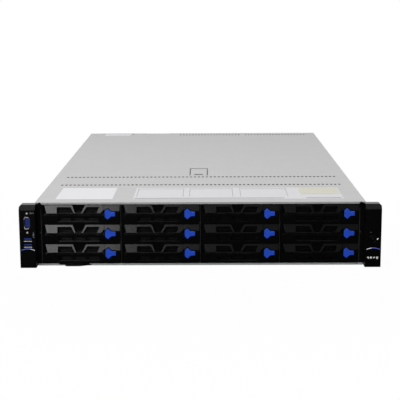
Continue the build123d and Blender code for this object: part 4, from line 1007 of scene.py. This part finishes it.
# %% Power button and lights of the right ear
POWER_X, POWER_Z = 230.0, 40.0
power_sign = ring(POWER_X, POWER_Z, 1.4, 0.3, -50, 230) + [bar(POWER_X, 40.6, POWER_X, 41.8, 0.3)]
mesh = pushed("power_sign", power_sign, -PAD_FACE - 0.02, -PAD_FACE + PRINT)
show(mesh, "sign_dim", "power_key")
bezel_ring = turned("power_ring", [(4.8, 0.0), (4.8, 0.35), (5.1, 0.45), (5.5, 0.35), (5.6, 0.0)],
                    (POWER_X, EAR_FACE, POWER_Z), "front", 40)
show(bezel_ring, "ear_abs", "chassis")
# A short bright stroke at the right edge of the power ring: a painted highlight on its rim
print_marks("power_tick", [bar(235.9, 39.2, 237.0, 40.5, 1.0)], "sign_lit")
lens_profile = [(0, 0.3), (0.35, 0.25), (0.5, 0.1), (0.55, 0)]
lens = turned("status_light", lens_profile, (227.2, EAR_FACE, 48.9), "front", 20)
show(lens, "mark_grey", "chassis")

# %% Fins at the inner top corner of each ear
FIN_LEFT, FIN_RIGHT, FIN_FOOT, FIN_TOP = 214.0, 219.2, 79.5, 87.8
FIN_OUTLINE = [
    (FIN_LEFT, FIN_FOOT), (FIN_RIGHT, FIN_FOOT), (FIN_RIGHT, 85.8),
    (FIN_LEFT + 2.2, FIN_TOP), (FIN_LEFT, 86.0),
]
for side, name in ((-1, "left_fin"), (1, "right_fin")):
    fin = pushed(name, [[(side * x, z) for x, z in FIN_OUTLINE]], 1.3, 3.6)
    show(fin, "ear_abs", "chassis")


# %% [markdown]
# ## The rear
#
# The supplies have a wire guard over their fan, an inlet with three blades, and a
# small light. The sockets get their insides: contacts, tongues and a blue core. The
# card slots are closed by perforated blanks.

# %% Power supply fans, guards and inlets
PSU_MIDDLE = -181.75
PSU_LEVELS = (1.7, 43.7)
PSU_HEIGHT = 40.0
FAN_X = PSU_MIDDLE - 17.0
FAN_RECESS = 3.0
INLET_X = PSU_MIDDLE + 15.0
INLET_HALF_WIDTH, INLET_HALF_HEIGHT = 13.6, 9.9
FAN_WELL = [(0, 0.15), (16.6, 0.15), (16.6, 2.6), (16.95, 2.6), (16.95, 0.02), (0, 0.02)]
FAN_BLADES = 7
BLADE = [(6, -2.2), (15.6, -5.5), (15.9, 1.0), (6, 2.2)]
WIRE = 0.55
WIRE_TURNS = [math.tau * k / 8 for k in range(9)]
GUARD_RINGS = (5.5, 9.0, 12.5, 16.0)
SPOKE_INNER, SPOKE_OUTER = 5.0, 17.4
for number, level in enumerate(PSU_LEVELS, 1):
    middle = level + PSU_HEIGHT / 2
    body = f"supply_{number}"
    floor_y = BODY_DEPTH - FAN_RECESS
    well = turned(f"fan_well_{number}", FAN_WELL, (FAN_X, floor_y, middle), "rear", 48)
    show(well, "hole_black", body)
    blade = pushed("blade", [BLADE], floor_y + 0.3, floor_y + 0.9, "rear")
    blades = []
    for i in range(FAN_BLADES):
        copy = blade.copy()
        spin = Matrix.Rotation(i * math.tau / FAN_BLADES, 4, "Y")
        copy.transform(Matrix.Translation(metres(FAN_X, 0, middle)) @ spin)
        blades.append(copy)
    hub = turned("hub", [(0, 1.4), (6.2, 1.3), (6.8, 0.9), (6.8, 0.1)], (FAN_X, floor_y, middle), "rear", 32)
    show(joined(f"supply_fan_{number}", blades + [hub]),
         "fan_black", body)
    rings = []
    for radius in GUARD_RINGS:
        tube = [(radius + WIRE * math.cos(a), WIRE * math.sin(a)) for a in WIRE_TURNS]
        rings.append(turned("wire", tube, (FAN_X, BODY_DEPTH - 0.6, middle), "rear", 40))
    for i in range(4):
        angle = math.radians(45 + 90 * i)
        hub_point, out = Vector((-FAN_X, middle)), Vector((math.cos(angle), math.sin(angle)))
        stroke = bar(*(hub_point + out * SPOKE_INNER), *(hub_point + out * SPOKE_OUTER), 1.0)
        rings.append(pushed("spoke", [stroke], BODY_DEPTH - 1.1, BODY_DEPTH - 0.3, "rear"))
    show(joined(f"fan_guard_{number}", rings), "nickel", body)
    liner = blocks(f"inlet_floor_{number}", [
        ((INLET_X - INLET_HALF_WIDTH, BODY_DEPTH - 16.9, middle - INLET_HALF_HEIGHT),
         (INLET_X + INLET_HALF_WIDTH, BODY_DEPTH - 16.2, middle + INLET_HALF_HEIGHT)),
    ], 0.2)
    show(liner, "fan_black", body)
    blades = [((x - 1.0, BODY_DEPTH - 16.4, z - 2.0), (x + 1.0, BODY_DEPTH - 3.0, z + 2.0)) for x, z in (
        (INLET_X - 7.0, middle - 1.5), (INLET_X + 7.0, middle - 1.5), (INLET_X, middle + 2.5))]
    show(blocks(f"inlet_blades_{number}", blades, 0.35), "nickel",
         body)
    light = turned(f"supply_light_{number}", [(0, 0.5), (1.0, 0.4), (1.4, 0.0)],
                   (INLET_X + 15.9, BODY_DEPTH, middle + 16), "rear", 20)
    show(light, "light_green", body)

# %% Rear sockets
BOARD_TOP = 6.4
SOCKET_SPACING = 1.0
SHELL = 1.0
MOUTH_Y = BODY_DEPTH + 0.4
SOCKET_KINDS = (
    ("network", 15.4, 12.6), ("network", 15.4, 12.6), ("usb", 13.2, 14.8), ("usb", 13.2, 14.8),
    ("video", 30.8, 12.5), ("network", 15.4, 12.6), ("module", 70.0, 13.0),
)
liners, contacts, tongues = [], [], []
left = RISER_LEFT
for kind, width, height in SOCKET_KINDS:
    middle, right_side, low = left + width / 2, left + width, BOARD_TOP
    inside = (left + SHELL, right_side - SHELL, low + SHELL, low + height - SHELL)
    if kind == "network":
        liners.append(((inside[0], MOUTH_Y - 13.0, inside[2]), (inside[1], MOUTH_Y - 12.2, inside[3])))
        contacts += [(middle + (i - 3.5) * 1.02, MOUTH_Y - 6.0, low + 3.0) for i in range(8)]
    elif kind == "usb":
        divide = low + height / 2
        liners.append(((inside[0], MOUTH_Y - 13.5, divide - 0.5), (inside[1], MOUTH_Y - 0.3, divide + 0.5)))
        tongues += [((inside[0] + 1.2, MOUTH_Y - 12.5, z - 0.9), (inside[1] - 1.2, MOUTH_Y - 1.0, z + 0.9))
                    for z in (divide - 3.4, divide + 3.6)]
    elif kind == "video":
        liners.append(((inside[0], MOUTH_Y - 5.5, inside[2]), (inside[1], MOUTH_Y - 4.9, inside[3])))
        video_middle = (middle, low + height / 2)
    left = right_side + SOCKET_SPACING
show(blocks("rear_socket_liners", liners, 0.1), "fan_black", "chassis")
pin = blocks("rear_contact", [((-0.22, -4.5, -0.12), (0.22, 4.5, 0.12))], 0.05)
place_copies("rear_contacts", pin, contacts, "gold", "chassis")
show(blocks("rear_usb_tongues", tongues, 0.15), "touch_blue", "chassis")
x, z = video_middle
video_face = [[(-x - 8.4, z + 4.1), (-x + 8.4, z + 4.1), (-x + 7.0, z - 4.1), (-x - 7.0, z - 4.1)]]
core = pushed("rear_video_core", video_face, MOUTH_Y - 5.2, MOUTH_Y - 1.5, "rear")
show(core, "socket_blue", "chassis")
# Flat black discs on the rear video core: painted shade of its pin holes
holes = [
    (x + (i - 2) * 2.3 + (row - 1) * 1.1, MOUTH_Y - 1.5, z + (row - 1) * 2.2)
    for row in range(PIN_ROWS) for i in range(PINS_IN_ROW)
]
hole_shade_disc = turned("rear_pin_hole", [(0, 0.02), (0.42, 0.02), (0.5, 0.0)], pointing="rear", segments=12)
place_copies("rear_video_holes", hole_shade_disc, holes, "hole_black", "chassis")
jack = turned("rear_jack", [(0, 3.6), (1.1, 3.6), (1.1, 4.6), (1.9, 4.6), (2.2, 4.2), (2.2, 0), (0, 0)],
              pointing="rear", segments=6)
place_copies("rear_jacks", jack, [(x + side * 12.0, MOUTH_Y - 4.9, z) for side in (-1, 1)],
             "nickel", "chassis")

# %% Perforated blanks of the card slots
LOW_SLOT_LEFT, CARD_PITCH, LOW_SLOTS = -134.0, 20.32, 4
LOW_SLOT = (13.0, 68.0)
LOW_SLOT_MIDDLE = 42.0
RISER_SLOT = (107.5, 13.0)
RISER_BOTTOM = 23.5
BLANK_FACE = BODY_DEPTH - 1.2
slots_at = [
    (LOW_SLOT_LEFT + i * CARD_PITCH + LOW_SLOT[0] / 2, LOW_SLOT_MIDDLE, LOW_SLOT) for i in range(LOW_SLOTS)
]
slots_at += [
    (RISER_LEFT + RISER_WIDTH / 2 + riser * RISER_PITCH, RISER_BOTTOM + (row + 0.5) * CARD_PITCH, RISER_SLOT)
    for riser in range(2) for row in range(3)
]
backs = []
for number, (x, z, (width, height)) in enumerate(slots_at, 1):
    vent = (width - 2.5, height - 2.5)
    honeycomb(f"slot_vent_{number}", vent, 3.2, 0.8, 0.35, (x, BLANK_FACE + 0.05, z), "rear",
              "tub_zinc", "chassis")
    half_width, half_height = vent[0] / 2, vent[1] / 2
    backs.append(((x - half_width, BLANK_FACE - 0.1, z - half_height),
                  (x + half_width, BLANK_FACE + 0.06, z + half_height)))
show(blocks("slot_shadows", backs), "hole_black", "chassis")
print("slot blanks:", len(slots_at))
